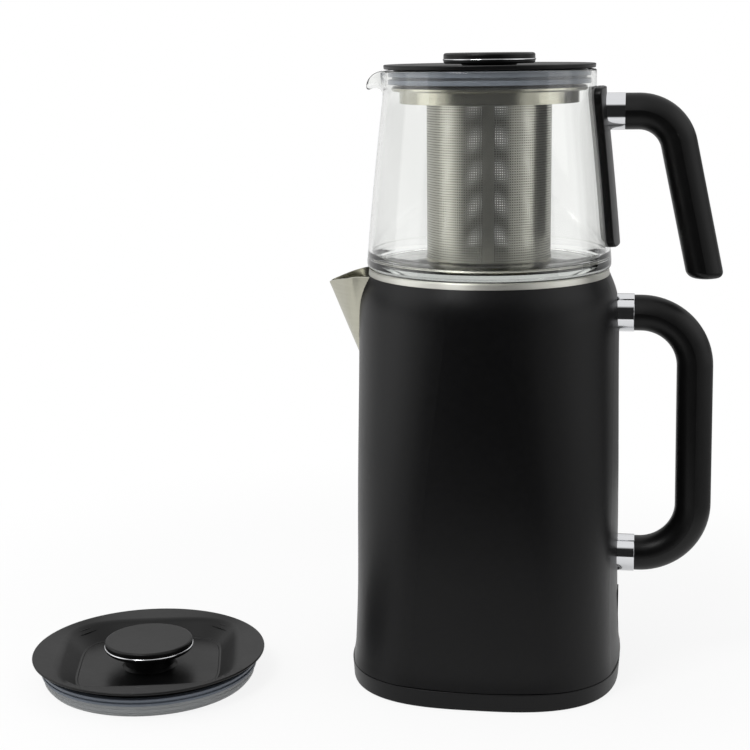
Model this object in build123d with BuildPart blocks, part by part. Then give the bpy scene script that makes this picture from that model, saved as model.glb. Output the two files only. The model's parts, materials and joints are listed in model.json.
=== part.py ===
"""Double-deck electric tea maker: power base, steel-lined kettle, glass teapot with infuser, two lids.

Millimetres, +Z up.  The origin is the centre of the power base on the surface it stands on.
+X points to the two handles, -X to the two pouring sides.
"""
import os
from math import atan2, cos, radians, sin, sqrt

from build123d import *

os.makedirs("parts", exist_ok=True)

# ---------------------------------------------------------------- driving dimensions
SLIDE_GAP = 0.3          # gap between pieces that lift or turn apart
SEAT_GAP = 0.1           # gap between pieces that are assembled and stay
SHEET = 0.6              # thickness of the infuser's sheet steel

# screws
SCREW_RADIUS = 2.0
SCREW_HEAD_RADIUS = 3.8
SCREW_HEAD = 2.4
SCREW_BITE = 12.0        # length of a handle screw inside the grip
SCREW_SEAT = 1.1         # wall left between a screw head and the outside of the body
SCREW_TIP_ROOM = 1.0     # length of a bore past the tip of its screw
CUT_REACH = 8.0          # how far a cut starts before the wall that it goes through

# kettle body
BODY_HALF_FOOT = 75.7    # half width at the flared foot
FOOT_FLARE = 1.6         # extra half width of the flare
BODY_TAPER = 2.6         # loss of half width from the flare to the shoulder, where the body is round
FLARE_HEIGHT = 27.0
BODY_HEIGHT = 215.1
SHOULDER_HEIGHT = 22.0
SHOULDER_RADIUS = 48.4
SHELL_WALL = 1.5
CORNER_BULGE = 0.109     # extra reach of the foot's corners, as a share of its half width
SIDE_FLATNESS = 1.2      # extra radius of the foot's sides, as a share of its half width
ROUNDING_PACE = 1.3      # over 1, the soft square turns round mostly near the shoulder
COVER_THICKNESS = 2.0    # plate that closes the kettle from below

# power base
BASE_TOP = 10.4          # upper face of the base, the seam under the kettle
SEAM_GAP = 0.5           # shadow line between base and kettle
BASE_INSET_TOP = 0.9     # step in from the kettle's foot to the base at the seam
BASE_INSET_LOW = 2.8     # the same at the lower edge of the base
BASE_LIFT = 1.2          # height of the lower edge over the surface
BASE_WALL = 2.2
BASE_EDGE_ROUND = 1.6
FOOT_INSET = 20.9        # from the side of the base to the rubber ring that it stands on
FOOT_WIDTH = 8.0
FOOT_SINK = 1.4          # depth of the ring in its groove
FOOT_CHAMFER = 0.4
GROOVE_WALL = 1.0
BOTTOM_PLATE = 1.8       # thickness of the plate that closes the base

# coupler between base and kettle
POST_RADIUS = 6.0
POST_RISE = 7.6          # height of the post over the raised disc
POST_CHAMFER = 1.0
COUPLER_RADIUS = 17.0    # raised disc that carries the coupler post
COUPLER_RISE = 3.0
COUPLER_FLANGE = 3.0     # extra radius of the disc under the base shell
CONTACT_RADIUS = 11.5    # outer earth contact ring of the coupler
CONTACT_WIDTH = 1.6
CONTACT_DEPTH = 2.0
CONTACT_PROUD = 0.6
COUPLER_SCREWS = 13.0    # radius of the circle of screws
COUPLER_SCREW_BITE = 5.0
BOSS_PLAY = 2.0          # from the coupler disc to the kettle's boss round it
BOSS_WALL = 4.0          # wall of that boss
BOSS_ROOM = 1.6          # height left over the coupler disc inside the boss
BOSS_FLOOR = 2.0
SOCKET_RADIUS = 20.0
SOCKET_BORE = 12.6       # bore in the boss that takes the socket's neck
SOCKET_HEIGHT = 9.0
GLAND_FLANGE = 4.6       # radius of the cord gland's flange on the rear wall of the base
GLAND_FLANGE_DEPTH = 1.6
GLAND_RADIUS = 3.9
GLAND_LENGTH = 9.0       # length of the gland inside the base
CORD_HOLE_RADIUS = 2.9

# neck and vessel
NECK_LEDGE = 0.3         # the neck ring stands proud of the body's top edge
NECK_WIDTH = 5.5         # from the ring's outside to the vessel's inside
NECK_HEIGHT = 4.0
NECK_ROUND = 0.9
VESSEL_WALL = 0.8
VESSEL_CORNER = 7.0

# heater and control under the vessel
PLATE_INSET = 9.0        # from the vessel's inside to the rim of the heater plate
PLATE_THICKNESS = 4.0
ELEMENT_INSET = 12.0     # from the rim of the plate to the element's centreline
ELEMENT_TUBE_RADIUS = 3.6
ELEMENT_OPENING = 40.0   # degrees left open between the two element ends
CONTROL_HEIGHT = 14.0
CONTROL_LUG = 5.0        # radius of its three lugs
CONTROL_PLAY = 5.4       # from the lugs to the element round them
CONTROL_ROUND = 1.2
CONTROL_POST_PLAY = 1.5  # from the coupler post to the well in the control unit
CONTROL_POST_ROOM = 4.0  # the same over the top of the post

# spout
SPOUT_OUT = 0.5          # from the body's round shoulder to where the beak starts
SPOUT_REACH = 16.7
SPOUT_DROP = 0.4         # from the body's top edge to the upper edge of the beak's root
SPOUT_DEPTH = 44.1
SPOUT_TIP_DROP = 5.4
SPOUT_TIP_DEPTH = 3.4
SPOUT_ROOT_HALF = 19.5
SPOUT_TIP_HALF = 2.8
SPOUT_WALL = 0.9
SPOUT_DUCT = 17.1        # length of the duct inside the body, past the vessel's wall
KEEL_HALF_SHARE = 0.16   # half width of the beak's keel, as a share of its top's
KEEL_RISE_SHARE = 0.05   # rise of the keel's edges, as a share of the beak's depth
BOW_HALF_SHARE = 0.66    # half width of the beak's sides at their bow
BOW_RISE_SHARE = 0.42    # height of that bow
KEEL_WALL_SHARE = 1.6    # the keel is this much thicker than the sides
FILTER_MARGIN = 1.4      # the filter laps over the edge of the vessel's window
FILTER_THICKNESS = 0.6
FILTER_SLOT = 6.0
FILTER_SLOT_WIDTH = 2.2
FILTER_PITCH = 4.4
FILTER_ROW_PITCH = 8.0

# kettle handle
GRIP_RADIUS = 9.8
COLLAR_PROUD = 0.6       # extra radius of a collar over the grip
COLLAR_ROUND = 0.4
HANDLE_DROP = 21.2       # from the body's top edge to the upper tube's centreline
HANDLE_SPAN = 136.7      # between the two tubes
COLLAR_TOP_LENGTH = 8.1  # from the body to where the grip starts
COLLAR_LOW_LENGTH = 9.0
HANDLE_REACH = 41.0      # from the body's side to the grip's centreline at its top bend
HANDLE_LEAN = 1.7        # extra reach at the lower bend
HANDLE_BEND = 29.5

# switch under the kettle handle
SWITCH_RISE = 25.1       # from the kettle's lower edge to the switch's middle
SWITCH_WIDTH = 14.0
SWITCH_HEIGHT = 22.0
SWITCH_CORNER = 2.0
BEZEL_RIM = 2.0
BEZEL_DEPTH = 7.0
BEZEL_BACK = 1.2
BEZEL_PROUD = 0.2
ROCKER_PIN_RADIUS = 1.1
ROCKER_PIN_DEPTH = 2.5   # from the body's side to the pin
ROCKER_DIP = 1.1         # hollow of the rocker's face
ROCKER_SIDE = 1.6        # height of the rocker's upright edge
ROCKER_TAPER = 0.2       # each edge of the rocker draws in by this much
ROCKER_BACK = 2.2        # from the pin to the back of the rocker
ROCKER_BACK_HALF = 2.4
ROCKER_PIN_PLAY = 0.05

# teapot
POT_HEIGHT = 105.5
POT_OVERHANG = 0.2       # the pot's foot stands out over the neck ring
POT_TAPER = 9.4          # loss of radius from the foot to the mouth
POT_BELLY = 0.575        # share of the taper still to come at the middle of the wall
POT_CORNER = 3.4
POT_CORNER_RISE = 3.7    # height over the foot where the side wall starts
POT_UPRIGHT = 8.3        # height of the upright rim
POT_EASE = 10.7          # height over which the taper runs out into the rim
POT_EASE_RADIUS = 0.7
POT_WALL = 2.2
POT_FLOOR = 2.0
POT_FOOT_GAP = 1.0       # play of the ring under the floor, which drops into the neck
POT_FOOT_WIDTH = 2.4
POT_FOOT_DEPTH = 1.4
LIP_REACH = 9.7
LIP_HALF_ROOT = 14.0
LIP_HALF_TIP = 5.5
LIP_DEPTH = 14.3
LIP_TIP_DROP = 4.8
LIP_TIP_DEPTH = 3.6
LIP_WALL = 1.9
LIP_CUT_RISE = 3.0       # the channel's cut goes this far above the rim
LIP_CUT_PAST = 0.5       # and this far past the tip

# teapot handle
PAD_THICKNESS = 2.0
STRAP_THICKNESS = 3.3
STRAP_HALF_ANGLE = 17.0
STRAP_DROP = 9.4         # from the rim to the strap's upper end
STRAP_RISE = 11.9        # from the pot's foot to the strap's lower end
STRAP_CORNER = 5.0
STRAP_EDGE = 0.8
STRAP_SCREW_SEAT = 1.15  # from the pad's outside to the seat of the screw's head
POT_HANDLE_DROP = 22.5   # from the rim to the grip's upper centreline
POT_GRIP_RADIUS = 9.7
POT_COLLAR_PROUD = 0.1
POT_COLLAR_LENGTH = 8.9
POT_GRIP_RUN = 7.4       # straight start of the grip
POT_BEND = 22.0
POT_GRIP_TILT = 12.8     # degrees of the straight grip from the vertical
POT_GRIP_DROP = 4.4      # the grip's free end hangs below the pot's foot, on its centreline
GRIP_END_ROUND = 3.4

# both lids
BRIM_THICKNESS = 2.7
BRIM_ROUND = 1.1
WELL_DEPTH = 9.6
WELL_INSET = 16.1        # from the plug's side to the well's floor
WELL_SLOPE = 5.0         # extra half width of the well's opening over its floor
WELL_ROUND = 3.4
WELL_LIP_ROUND = 2.2
LID_WALL = 2.0
LID_FLOOR = 1.0
LID_SCREW_BITE = 8.0
SEAL_DEPTH = 3.0         # from the plug's side to the seal's lips
SEAL_LIP = 1.3           # the seal's two lips stand out by this much
SEAL_LIP_SHARE = 0.3     # height of a lip, as a share of the seal's
SEAL_EDGE = 0.4
KNOB_RADIUS = 24.6
KNOB_CAP = 3.0
KNOB_CAP_ROUND = 1.4
KNOB_RING = 1.0
KNOB_RING_PROUD = 0.3
KNOB_RING_DEPTH = 3.0
KNOB_BASE = 1.6
KNOB_EDGE = 0.8
KNOB_GAP = 0.2           # from the brim's level to the underside of the knob
STEM_RADIUS = 14.0
STEM_FLARE = 1.4

# teapot lid, seated in the pot
TEA_BRIM_INSET = 0.3     # the brim is this much smaller than the pot's rim
TEA_SEAL_PLAY = 0.6
TEA_SEAL_HEIGHT = 4.6

# infuser under the teapot lid
INFUSER_DROP = 0.8       # from the lid's plug to the infuser's flange
FLANGE_PLAY = 2.5        # from the flange to the pot's wall
FLANGE_WIDTH = 4.3
FLANGE_HEIGHT = 2.6
FLANGE_ROUND = 0.8
RIM_HEIGHT = 9.0
CATCH_DEPTH = 2.4        # from the rim's outside to the inside of its lip
NOTCH_HALF_ANGLE = 14.0  # half width of a notch in the lip, in degrees
CATCH_HALF_ANGLE = 13.0  # half width of a catch that passes the notch
CATCH_PLAY = 0.4
TWIST_RANGE = 40.0
CARRIER_DROP = 6.4       # height of the ring that carries the infuser
CARRIER_WALL = 2.2
SIEVE_SHARE = 0.698      # the sieve's radius as a share of the rim's
SIEVE_LIFT = 0.7         # from the pot's floor to the sieve
SIEVE_FOOT = 2.4         # height of the plain band at the foot of the sieve
SIEVE_FOOT_WALL = 0.4
SIEVE_FOOT_ROUND = 0.5

# kettle lid, lying beside the kettle
KETTLE_BRIM_PROUD = 4.3  # the brim reaches past the vessel's inside
KETTLE_SEAL_PLAY = 0.6
KETTLE_SEAL_DROP = 3.7   # from under the brim to the seal
KETTLE_SEAL_HEIGHT = 3.2
KETTLE_SKIRT_WALL = 1.8
KETTLE_SKIRT_HEIGHT = 7.0
KETTLE_LID_X = -187.5
KETTLE_LID_Y = -49.0
KETTLE_LID_TURN = 13.0

# ---------------------------------------------------------------- worked-out sizes and levels
BASE_HALF_TOP = BODY_HALF_FOOT - BASE_INSET_TOP
BASE_HALF_LOW = BODY_HALF_FOOT - BASE_INSET_LOW
FOOT_RADIUS = BASE_HALF_LOW - FOOT_INSET
FOOT_INNER = FOOT_RADIUS - FOOT_WIDTH
GROOVE_TOP = BASE_LIFT + FOOT_SINK
COUPLER_TOP = BASE_TOP + COUPLER_RISE
POST_TOP = COUPLER_TOP + POST_RISE
GLAND_Z = (BASE_TOP + BASE_LIFT) / 2
GLAND_WALL = BASE_HALF_TOP
GLAND_START = GLAND_WALL - GLAND_LENGTH

KETTLE_LOW = BASE_TOP + SEAM_GAP
BODY_TOP = KETTLE_LOW + BODY_HEIGHT
BODY_HALF_LOW = BODY_HALF_FOOT - FOOT_FLARE
BODY_HALF_TOP = BODY_HALF_LOW - BODY_TAPER
FLARE_TOP = KETTLE_LOW + FLARE_HEIGHT
SHOULDER_START = BODY_TOP - SHOULDER_HEIGHT
SHOULDER_INSET = SHOULDER_RADIUS - sqrt(SHOULDER_RADIUS**2 - SHOULDER_HEIGHT**2)
COVER_TOP = KETTLE_LOW + COVER_THICKNESS

NECK_RADIUS = BODY_HALF_TOP - SHOULDER_INSET + NECK_LEDGE
NECK_TOP = BODY_TOP + NECK_HEIGHT
VESSEL_RADIUS = NECK_RADIUS - NECK_WIDTH
VESSEL_OUTER = VESSEL_RADIUS + VESSEL_WALL
SOCKET_LOW = COUPLER_TOP + BOSS_ROOM
CONTROL_LOW = SOCKET_LOW + SOCKET_HEIGHT
PLATE_LOW = CONTROL_LOW + CONTROL_HEIGHT
PLATE_RADIUS = VESSEL_RADIUS - PLATE_INSET
VESSEL_FLOOR = PLATE_LOW + PLATE_THICKNESS
ELEMENT_RADIUS = PLATE_RADIUS - ELEMENT_INSET
CONTROL_RADIUS = ELEMENT_RADIUS - ELEMENT_TUBE_RADIUS - CONTROL_PLAY - CONTROL_LUG

SPOUT_ROOT_X = BODY_HALF_TOP + SPOUT_OUT
SPOUT_TIP_X = SPOUT_ROOT_X + SPOUT_REACH
SPOUT_ROOT_TOP = BODY_TOP - SPOUT_DROP
SPOUT_ROOT_LOW = SPOUT_ROOT_TOP - SPOUT_DEPTH
SPOUT_TIP_TOP = BODY_TOP - SPOUT_TIP_DROP
SPOUT_TIP_LOW = SPOUT_TIP_TOP - SPOUT_TIP_DEPTH
FILTER_LOW = SPOUT_ROOT_LOW - FILTER_MARGIN
FILTER_TOP = SPOUT_ROOT_TOP
FILTER_HALF = SPOUT_ROOT_HALF + FILTER_MARGIN
FILTER_ROWS = int((FILTER_TOP - FILTER_LOW) / FILTER_ROW_PITCH)
FILTER_COLUMNS = int(1.2 * SPOUT_ROOT_HALF / FILTER_PITCH)

COLLAR_RADIUS = GRIP_RADIUS + COLLAR_PROUD
HANDLE_TOP_Z = BODY_TOP - HANDLE_DROP
HANDLE_LOW_Z = HANDLE_TOP_Z - HANDLE_SPAN
HANDLE_TOP_START = BODY_HALF_TOP + COLLAR_TOP_LENGTH
HANDLE_LOW_START = BODY_HALF_TOP + BODY_TAPER / 2 + SPOUT_OUT + COLLAR_LOW_LENGTH
HANDLE_REACH_TOP = BODY_HALF_TOP + HANDLE_REACH
HANDLE_REACH_LOW = HANDLE_REACH_TOP + HANDLE_LEAN
SWITCH_Z = KETTLE_LOW + SWITCH_RISE

POT_LOW = NECK_TOP + SLIDE_GAP
POT_TOP = POT_LOW + POT_HEIGHT
POT_BASE_RADIUS = NECK_RADIUS + POT_OVERHANG
POT_BASE_Z = POT_LOW + POT_CORNER_RISE
POT_MOUTH_RADIUS = POT_BASE_RADIUS - POT_TAPER
POT_UPRIGHT_Z = POT_TOP - POT_UPRIGHT
POT_SHOULDER_Z = POT_UPRIGHT_Z - POT_EASE
POT_SHOULDER_RADIUS = POT_MOUTH_RADIUS + POT_EASE_RADIUS
POT_MIDDLE_Z = (POT_BASE_Z + POT_SHOULDER_Z) / 2
POT_MIDDLE_RADIUS = POT_MOUTH_RADIUS + POT_TAPER * POT_BELLY
POT_INNER = POT_MOUTH_RADIUS - POT_WALL
POT_FOOT_RADIUS = VESSEL_RADIUS - POT_FOOT_GAP
LIP_X = POT_MOUTH_RADIUS + LIP_REACH
LIP_LOW = POT_TOP - LIP_DEPTH
LIP_TIP_TOP = POT_TOP - LIP_TIP_DROP
LIP_TIP_LOW = LIP_TIP_TOP - LIP_TIP_DEPTH

STRAP_OUTSIDE = PAD_THICKNESS + STRAP_THICKNESS
STRAP_TOP = POT_TOP - STRAP_DROP
STRAP_LOW = POT_LOW + STRAP_RISE
POT_HANDLE_Z = POT_TOP - POT_HANDLE_DROP
POT_COLLAR_RADIUS = POT_GRIP_RADIUS + POT_COLLAR_PROUD

TEA_LID_TOP = POT_TOP + SLIDE_GAP + BRIM_THICKNESS
TEA_BRIM_RADIUS = POT_MOUTH_RADIUS - TEA_BRIM_INSET
TEA_SEAL_RADIUS = POT_INNER - TEA_SEAL_PLAY
TEA_PLUG_RADIUS = TEA_SEAL_RADIUS - SEAL_DEPTH
TEA_WELL_FLOOR = TEA_LID_TOP - WELL_DEPTH
TEA_PLUG_LOW = TEA_WELL_FLOOR - LID_FLOOR
TEA_SEAL_TOP = TEA_PLUG_LOW + TEA_SEAL_HEIGHT
TEA_WELL_HALF = TEA_PLUG_RADIUS - WELL_INSET

INFUSER_TOP = TEA_PLUG_LOW - INFUSER_DROP
FLANGE_RADIUS = POT_INNER - FLANGE_PLAY
FLANGE_LOW = INFUSER_TOP - FLANGE_HEIGHT
RIM_RADIUS = FLANGE_RADIUS - FLANGE_WIDTH
RIM_LOW = INFUSER_TOP - RIM_HEIGHT
CATCH_INNER = RIM_RADIUS - CATCH_DEPTH
SIEVE_RADIUS = RIM_RADIUS * SIEVE_SHARE
SIEVE_LOW = POT_LOW + POT_FLOOR + SIEVE_LIFT
CARRIER_LOW = TEA_PLUG_LOW - CARRIER_DROP
CARRIER_REACH = RIM_RADIUS - SHEET - CATCH_PLAY

KETTLE_BRIM_RADIUS = VESSEL_RADIUS + KETTLE_BRIM_PROUD
KETTLE_SEAL_RADIUS = VESSEL_RADIUS - KETTLE_SEAL_PLAY
KETTLE_PLUG_RADIUS = KETTLE_SEAL_RADIUS - SEAL_DEPTH
KETTLE_SEAL_TOP = KETTLE_SKIRT_HEIGHT + KETTLE_SEAL_HEIGHT
KETTLE_LID_TOP = KETTLE_SEAL_TOP + KETTLE_SEAL_DROP + BRIM_THICKNESS
KETTLE_WELL_FLOOR = KETTLE_LID_TOP - WELL_DEPTH
KETTLE_PLUG_LOW = KETTLE_WELL_FLOOR - LID_FLOOR
KETTLE_WELL_HALF = KETTLE_PLUG_RADIUS - WELL_INSET
KETTLE_SKIRT_RADIUS = KETTLE_PLUG_RADIUS + KETTLE_SKIRT_WALL

pouring_side = Plane(origin=(0, 0, 0), x_dir=(0, -1, 0), z_dir=(-1, 0, 0))


# ---------------------------------------------------------------- shared shapes
def soft_square(half, squareness):
    """Sketch of a closed outline of eight arcs: a circle at squareness 0, a soft square at 1."""
    blend = max(squareness, 0.02)
    reach = half * (1 + CORNER_BULGE * blend)
    side_radius = half * (1 + SIDE_FLATNESS * blend)
    shift = side_radius - half
    above = reach**2 + sqrt(2) * shift * reach + shift**2 - side_radius**2
    below = 2 * reach + sqrt(2) * shift - 2 * side_radius
    corner_centre = (reach - above / below) / sqrt(2)
    joint_angle = atan2(corner_centre, corner_centre + shift)
    joint = Vector(side_radius * cos(joint_angle) - shift, side_radius * sin(joint_angle))
    middle = Vector(half, 0)
    corner = Vector(reach / sqrt(2), reach / sqrt(2))
    with BuildSketch() as outline:
        with BuildLine():
            for quarter in range(4):
                turn = 90 * quarter
                start = Vector(joint.X, -joint.Y).rotate(Axis.Z, turn)
                end = joint.rotate(Axis.Z, turn)
                far_end = Vector(joint.Y, joint.X).rotate(Axis.Z, turn)
                ThreePointArc(start, middle.rotate(Axis.Z, turn), end)
                ThreePointArc(end, corner.rotate(Axis.Z, turn), far_end)
        make_face()
    return outline.sketch


def body_half(z):
    """Half width of the kettle body at height z."""
    if z > SHOULDER_START:
        rise = z - SHOULDER_START
        return BODY_HALF_TOP - SHOULDER_RADIUS + sqrt(SHOULDER_RADIUS**2 - rise**2)
    share = (z - KETTLE_LOW) / (SHOULDER_START - KETTLE_LOW)
    flare = max(0.0, (FLARE_TOP - z) / (FLARE_TOP - KETTLE_LOW))
    straight = BODY_HALF_LOW + (BODY_HALF_TOP - BODY_HALF_LOW) * share
    return straight + (BODY_HALF_FOOT - BODY_HALF_LOW) * flare**2


def body_squareness(z):
    """1 at the foot of the body, easing to 0 under the shoulder, where it is round."""
    share = min(1.0, (z - KETTLE_LOW) / (SHOULDER_START - KETTLE_LOW))
    return 1 - share**ROUNDING_PACE


def body_form(inset, low, high):
    """Solid of the kettle body's outline, inset by a wall, between two heights."""
    side = SHOULDER_START - FLARE_TOP
    levels = [KETTLE_LOW, (KETTLE_LOW + FLARE_TOP) / 2, FLARE_TOP]
    levels += [FLARE_TOP + side * share for share in (0.31, 0.68, 0.95)]
    levels += [SHOULDER_START + SHOULDER_HEIGHT * step / 3 for step in range(4)]
    with BuildPart() as form:
        for z in levels:
            with BuildSketch(Plane.XY.offset(z)):
                add(soft_square(body_half(z) - inset, body_squareness(z)))
        loft()
        with BuildSketch(Plane.XY.offset(low)):
            Rectangle(4 * BODY_HALF_FOOT, 4 * BODY_HALF_FOOT)
        extrude(amount=high - low, mode=Mode.INTERSECT)
    return form.part


def spout_outline(half, top, low, inset, extra_top):
    """Sketch of a section across the beak: flat top, bowed sides and a rounded keel."""
    width = half - inset
    keel = low + inset * KEEL_WALL_SHARE
    keel_half = width * KEEL_HALF_SHARE
    keel_rise = (top - keel) * KEEL_RISE_SHARE
    bow_half = width * BOW_HALF_SHARE
    bow_z = keel + (top - keel) * BOW_RISE_SHARE
    keel_left = (-keel_half, keel + keel_rise)
    keel_right = (keel_half, keel + keel_rise)
    with BuildSketch() as outline:
        with BuildLine():
            Line((-width, top), (width, top))
            ThreePointArc((width, top), (bow_half, bow_z), keel_right)
            ThreePointArc(keel_right, (0, keel), keel_left)
            ThreePointArc(keel_left, (-bow_half, bow_z), (-width, top))
        make_face()
        if extra_top:
            with Locations((0, top + extra_top / 2)):
                Rectangle(2 * width, extra_top)
    return outline.sketch


def spout_form(inset, extra_top):
    """Solid of the beak and of the duct behind it, inset by a wall and raised past the rim."""
    with BuildPart() as form:
        with BuildSketch(pouring_side.offset(SPOUT_ROOT_X)):
            add(spout_outline(SPOUT_ROOT_HALF, SPOUT_ROOT_TOP, SPOUT_ROOT_LOW, inset, extra_top))
        with BuildSketch(pouring_side.offset(SPOUT_TIP_X - inset)):
            add(spout_outline(SPOUT_TIP_HALF, SPOUT_TIP_TOP, SPOUT_TIP_LOW, inset, extra_top))
        loft()
        with BuildSketch(pouring_side.offset(SPOUT_ROOT_X)):
            add(spout_outline(SPOUT_ROOT_HALF, SPOUT_ROOT_TOP, SPOUT_ROOT_LOW, inset, extra_top))
        extrude(amount=-SPOUT_DUCT)
    return form.part


def lip_outline(half, top, low, inset):
    """Sketch of a section across the pouring lip: a half-round channel, closed along its top."""
    width = half - inset
    keel = low + inset
    with BuildSketch() as outline:
        with BuildLine():
            Line((-width, top), (width, top))
            ThreePointArc((width, top), (0, keel), (-width, top))
        make_face()
    return outline.sketch


def pot_wall_line(offset):
    """Line of the teapot's side from foot to mouth, moved outwards by an offset."""
    foot = (POT_BASE_RADIUS + offset, POT_BASE_Z)
    middle = (POT_MIDDLE_RADIUS + offset, POT_MIDDLE_Z)
    shoulder = (POT_SHOULDER_RADIUS + offset, POT_SHOULDER_Z)
    upright = (POT_MOUTH_RADIUS + offset, POT_UPRIGHT_Z)
    with BuildLine() as wall:
        side = ThreePointArc(foot, middle, shoulder)
        TangentArc(shoulder, upright, tangent=side % 1)
        Line(upright, (POT_MOUTH_RADIUS + offset, POT_TOP))
    return wall.line


def pot_radius(z):
    """Outer radius of the teapot wall at height z, on the arc through its three set points."""
    if z >= POT_SHOULDER_Z:
        return POT_MOUTH_RADIUS
    share = (z - POT_BASE_Z) / (POT_SHOULDER_Z - POT_BASE_Z)
    chord = POT_BASE_RADIUS + (POT_SHOULDER_RADIUS - POT_BASE_RADIUS) * share
    half_share = (POT_MIDDLE_Z - POT_BASE_Z) / (POT_SHOULDER_Z - POT_BASE_Z)
    half_chord = POT_BASE_RADIUS + (POT_SHOULDER_RADIUS - POT_BASE_RADIUS) * half_share
    bow = (POT_MIDDLE_RADIUS - half_chord) / (half_share * (1 - half_share))
    return chord + bow * share * (1 - share)


def ring(inner, outer, low, high):
    """Plain ring between two radii and two heights."""
    with BuildPart() as piece:
        with BuildSketch(Plane.XY.offset(low)):
            Circle(outer)
            if inner:
                Circle(inner, mode=Mode.SUBTRACT)
        extrude(amount=high - low)
    return piece.part


def rod_x(radius, start, end, z):
    """Round rod along X at height z."""
    with BuildPart() as piece:
        with BuildSketch(Plane.YZ.offset(start)):
            with Locations((0, z)):
                Circle(radius)
        extrude(amount=end - start)
    return piece.part


def rod_y(radius, start, end, z):
    """Round rod along Y at height z."""
    with BuildPart() as piece:
        with BuildSketch(Plane.XZ.offset(-start)):
            with Locations((0, z)):
                Circle(radius)
        extrude(amount=start - end)
    return piece.part


def screw_x(start, head, end, z):
    """Button-headed screw along X, with its head before the start."""
    with BuildPart() as piece:
        with BuildSketch(Plane.XZ):
            with BuildLine():
                Polyline(
                    (end, z),
                    (end, z + SCREW_RADIUS),
                    (start, z + SCREW_RADIUS),
                    (start, z + SCREW_HEAD_RADIUS),
                    (start - head, z + SCREW_HEAD_RADIUS - SCREW_TIP_ROOM),
                    (start - head, z),
                    close=True,
                )
            make_face()
        revolve(axis=Axis((0, 0, z), (1, 0, 0)))
    return piece.part


def save(part, label):
    """Label a finished piece and write it as its own STEP file."""
    part.label = label
    export_step(part, f"parts/{label}.step")


# ---------------------------------------------------------------- power base
gland_bore = rod_y(GLAND_RADIUS + SEAT_GAP, GLAND_START - SEAT_GAP, 2 * BASE_HALF_TOP, GLAND_Z)
with BuildPart() as base_shell:
    with BuildSketch(Plane.XY.offset(BASE_LIFT)):
        add(soft_square(BASE_HALF_LOW, 1))
    with BuildSketch(Plane.XY.offset(BASE_TOP)):
        add(soft_square(BASE_HALF_TOP, 1))
    loft()
    fillet(base_shell.faces().sort_by(Axis.Z)[0].edges(), BASE_EDGE_ROUND)
    with BuildSketch(Plane.XY.offset(BASE_LIFT)):
        add(soft_square(BASE_HALF_LOW - BASE_WALL, 1))
    extrude(amount=BASE_TOP - BASE_WALL - BASE_LIFT, mode=Mode.SUBTRACT)
    with BuildSketch(Plane.XY.offset(BASE_TOP - BASE_WALL)):
        Circle(COUPLER_RADIUS + SEAT_GAP)
    extrude(amount=BASE_WALL, mode=Mode.SUBTRACT)
    add(gland_bore, mode=Mode.SUBTRACT)
save(base_shell.part, "base_shell")

PLATE_HALF = BASE_HALF_LOW - BASE_WALL - SEAT_GAP
with BuildPart() as base_plate:
    with BuildSketch(Plane.XY.offset(BASE_LIFT)):
        add(soft_square(PLATE_HALF, 1))
    extrude(amount=BOTTOM_PLATE)
    add(ring(FOOT_INNER - GROOVE_WALL, FOOT_RADIUS + GROOVE_WALL, BASE_LIFT, GROOVE_TOP + GROOVE_WALL))
    add(ring(FOOT_INNER - SEAT_GAP, FOOT_RADIUS + SEAT_GAP, BASE_LIFT, GROOVE_TOP), mode=Mode.SUBTRACT)
    with BuildSketch(Plane.XY.offset(BASE_LIFT)):
        with PolarLocations(COUPLER_SCREWS, 3, 30):
            Circle(SCREW_RADIUS)
    extrude(amount=BOTTOM_PLATE, mode=Mode.SUBTRACT)
    add(gland_bore, mode=Mode.SUBTRACT)
save(base_plate.part, "base_plate")

with BuildPart() as base_foot_ring:
    add(ring(FOOT_INNER, FOOT_RADIUS, 0, GROOVE_TOP))
    chamfer(base_foot_ring.faces().sort_by(Axis.Z)[0].edges(), FOOT_CHAMFER)
save(base_foot_ring.part, "base_foot_ring")

with BuildPart() as base_coupler:
    with BuildSketch(Plane.XZ):
        with BuildLine():
            Polyline(
                (0, BASE_LIFT + BOTTOM_PLATE),
                (COUPLER_RADIUS + COUPLER_FLANGE, BASE_LIFT + BOTTOM_PLATE),
                (COUPLER_RADIUS + COUPLER_FLANGE, BASE_TOP - BASE_WALL),
                (COUPLER_RADIUS, BASE_TOP - BASE_WALL),
                (COUPLER_RADIUS, COUPLER_TOP - POST_CHAMFER),
                (COUPLER_RADIUS - POST_CHAMFER, COUPLER_TOP),
                (POST_RADIUS + POST_CHAMFER / 2, COUPLER_TOP),
                (POST_RADIUS, COUPLER_TOP + POST_CHAMFER / 2),
                (POST_RADIUS, POST_TOP - POST_CHAMFER),
                (POST_RADIUS - POST_CHAMFER, POST_TOP),
                (0, POST_TOP),
                close=True,
            )
        make_face()
    revolve(axis=Axis.Z)
    with BuildSketch(Plane.XY.offset(COUPLER_TOP - CONTACT_DEPTH)):
        Circle(CONTACT_RADIUS)
        Circle(CONTACT_RADIUS - CONTACT_WIDTH, mode=Mode.SUBTRACT)
    extrude(amount=CONTACT_DEPTH, mode=Mode.SUBTRACT)
    with BuildSketch(Plane.XY.offset(BASE_LIFT + BOTTOM_PLATE)):
        with PolarLocations(COUPLER_SCREWS, 3, 30):
            Circle(SCREW_RADIUS)
    extrude(amount=COUPLER_SCREW_BITE + SCREW_TIP_ROOM, mode=Mode.SUBTRACT)
save(base_coupler.part, "base_coupler")

contact_low = COUPLER_TOP - CONTACT_DEPTH
contact_top = COUPLER_TOP + CONTACT_PROUD
save(ring(CONTACT_RADIUS - CONTACT_WIDTH, CONTACT_RADIUS, contact_low, contact_top), "base_contact_ring")

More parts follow.
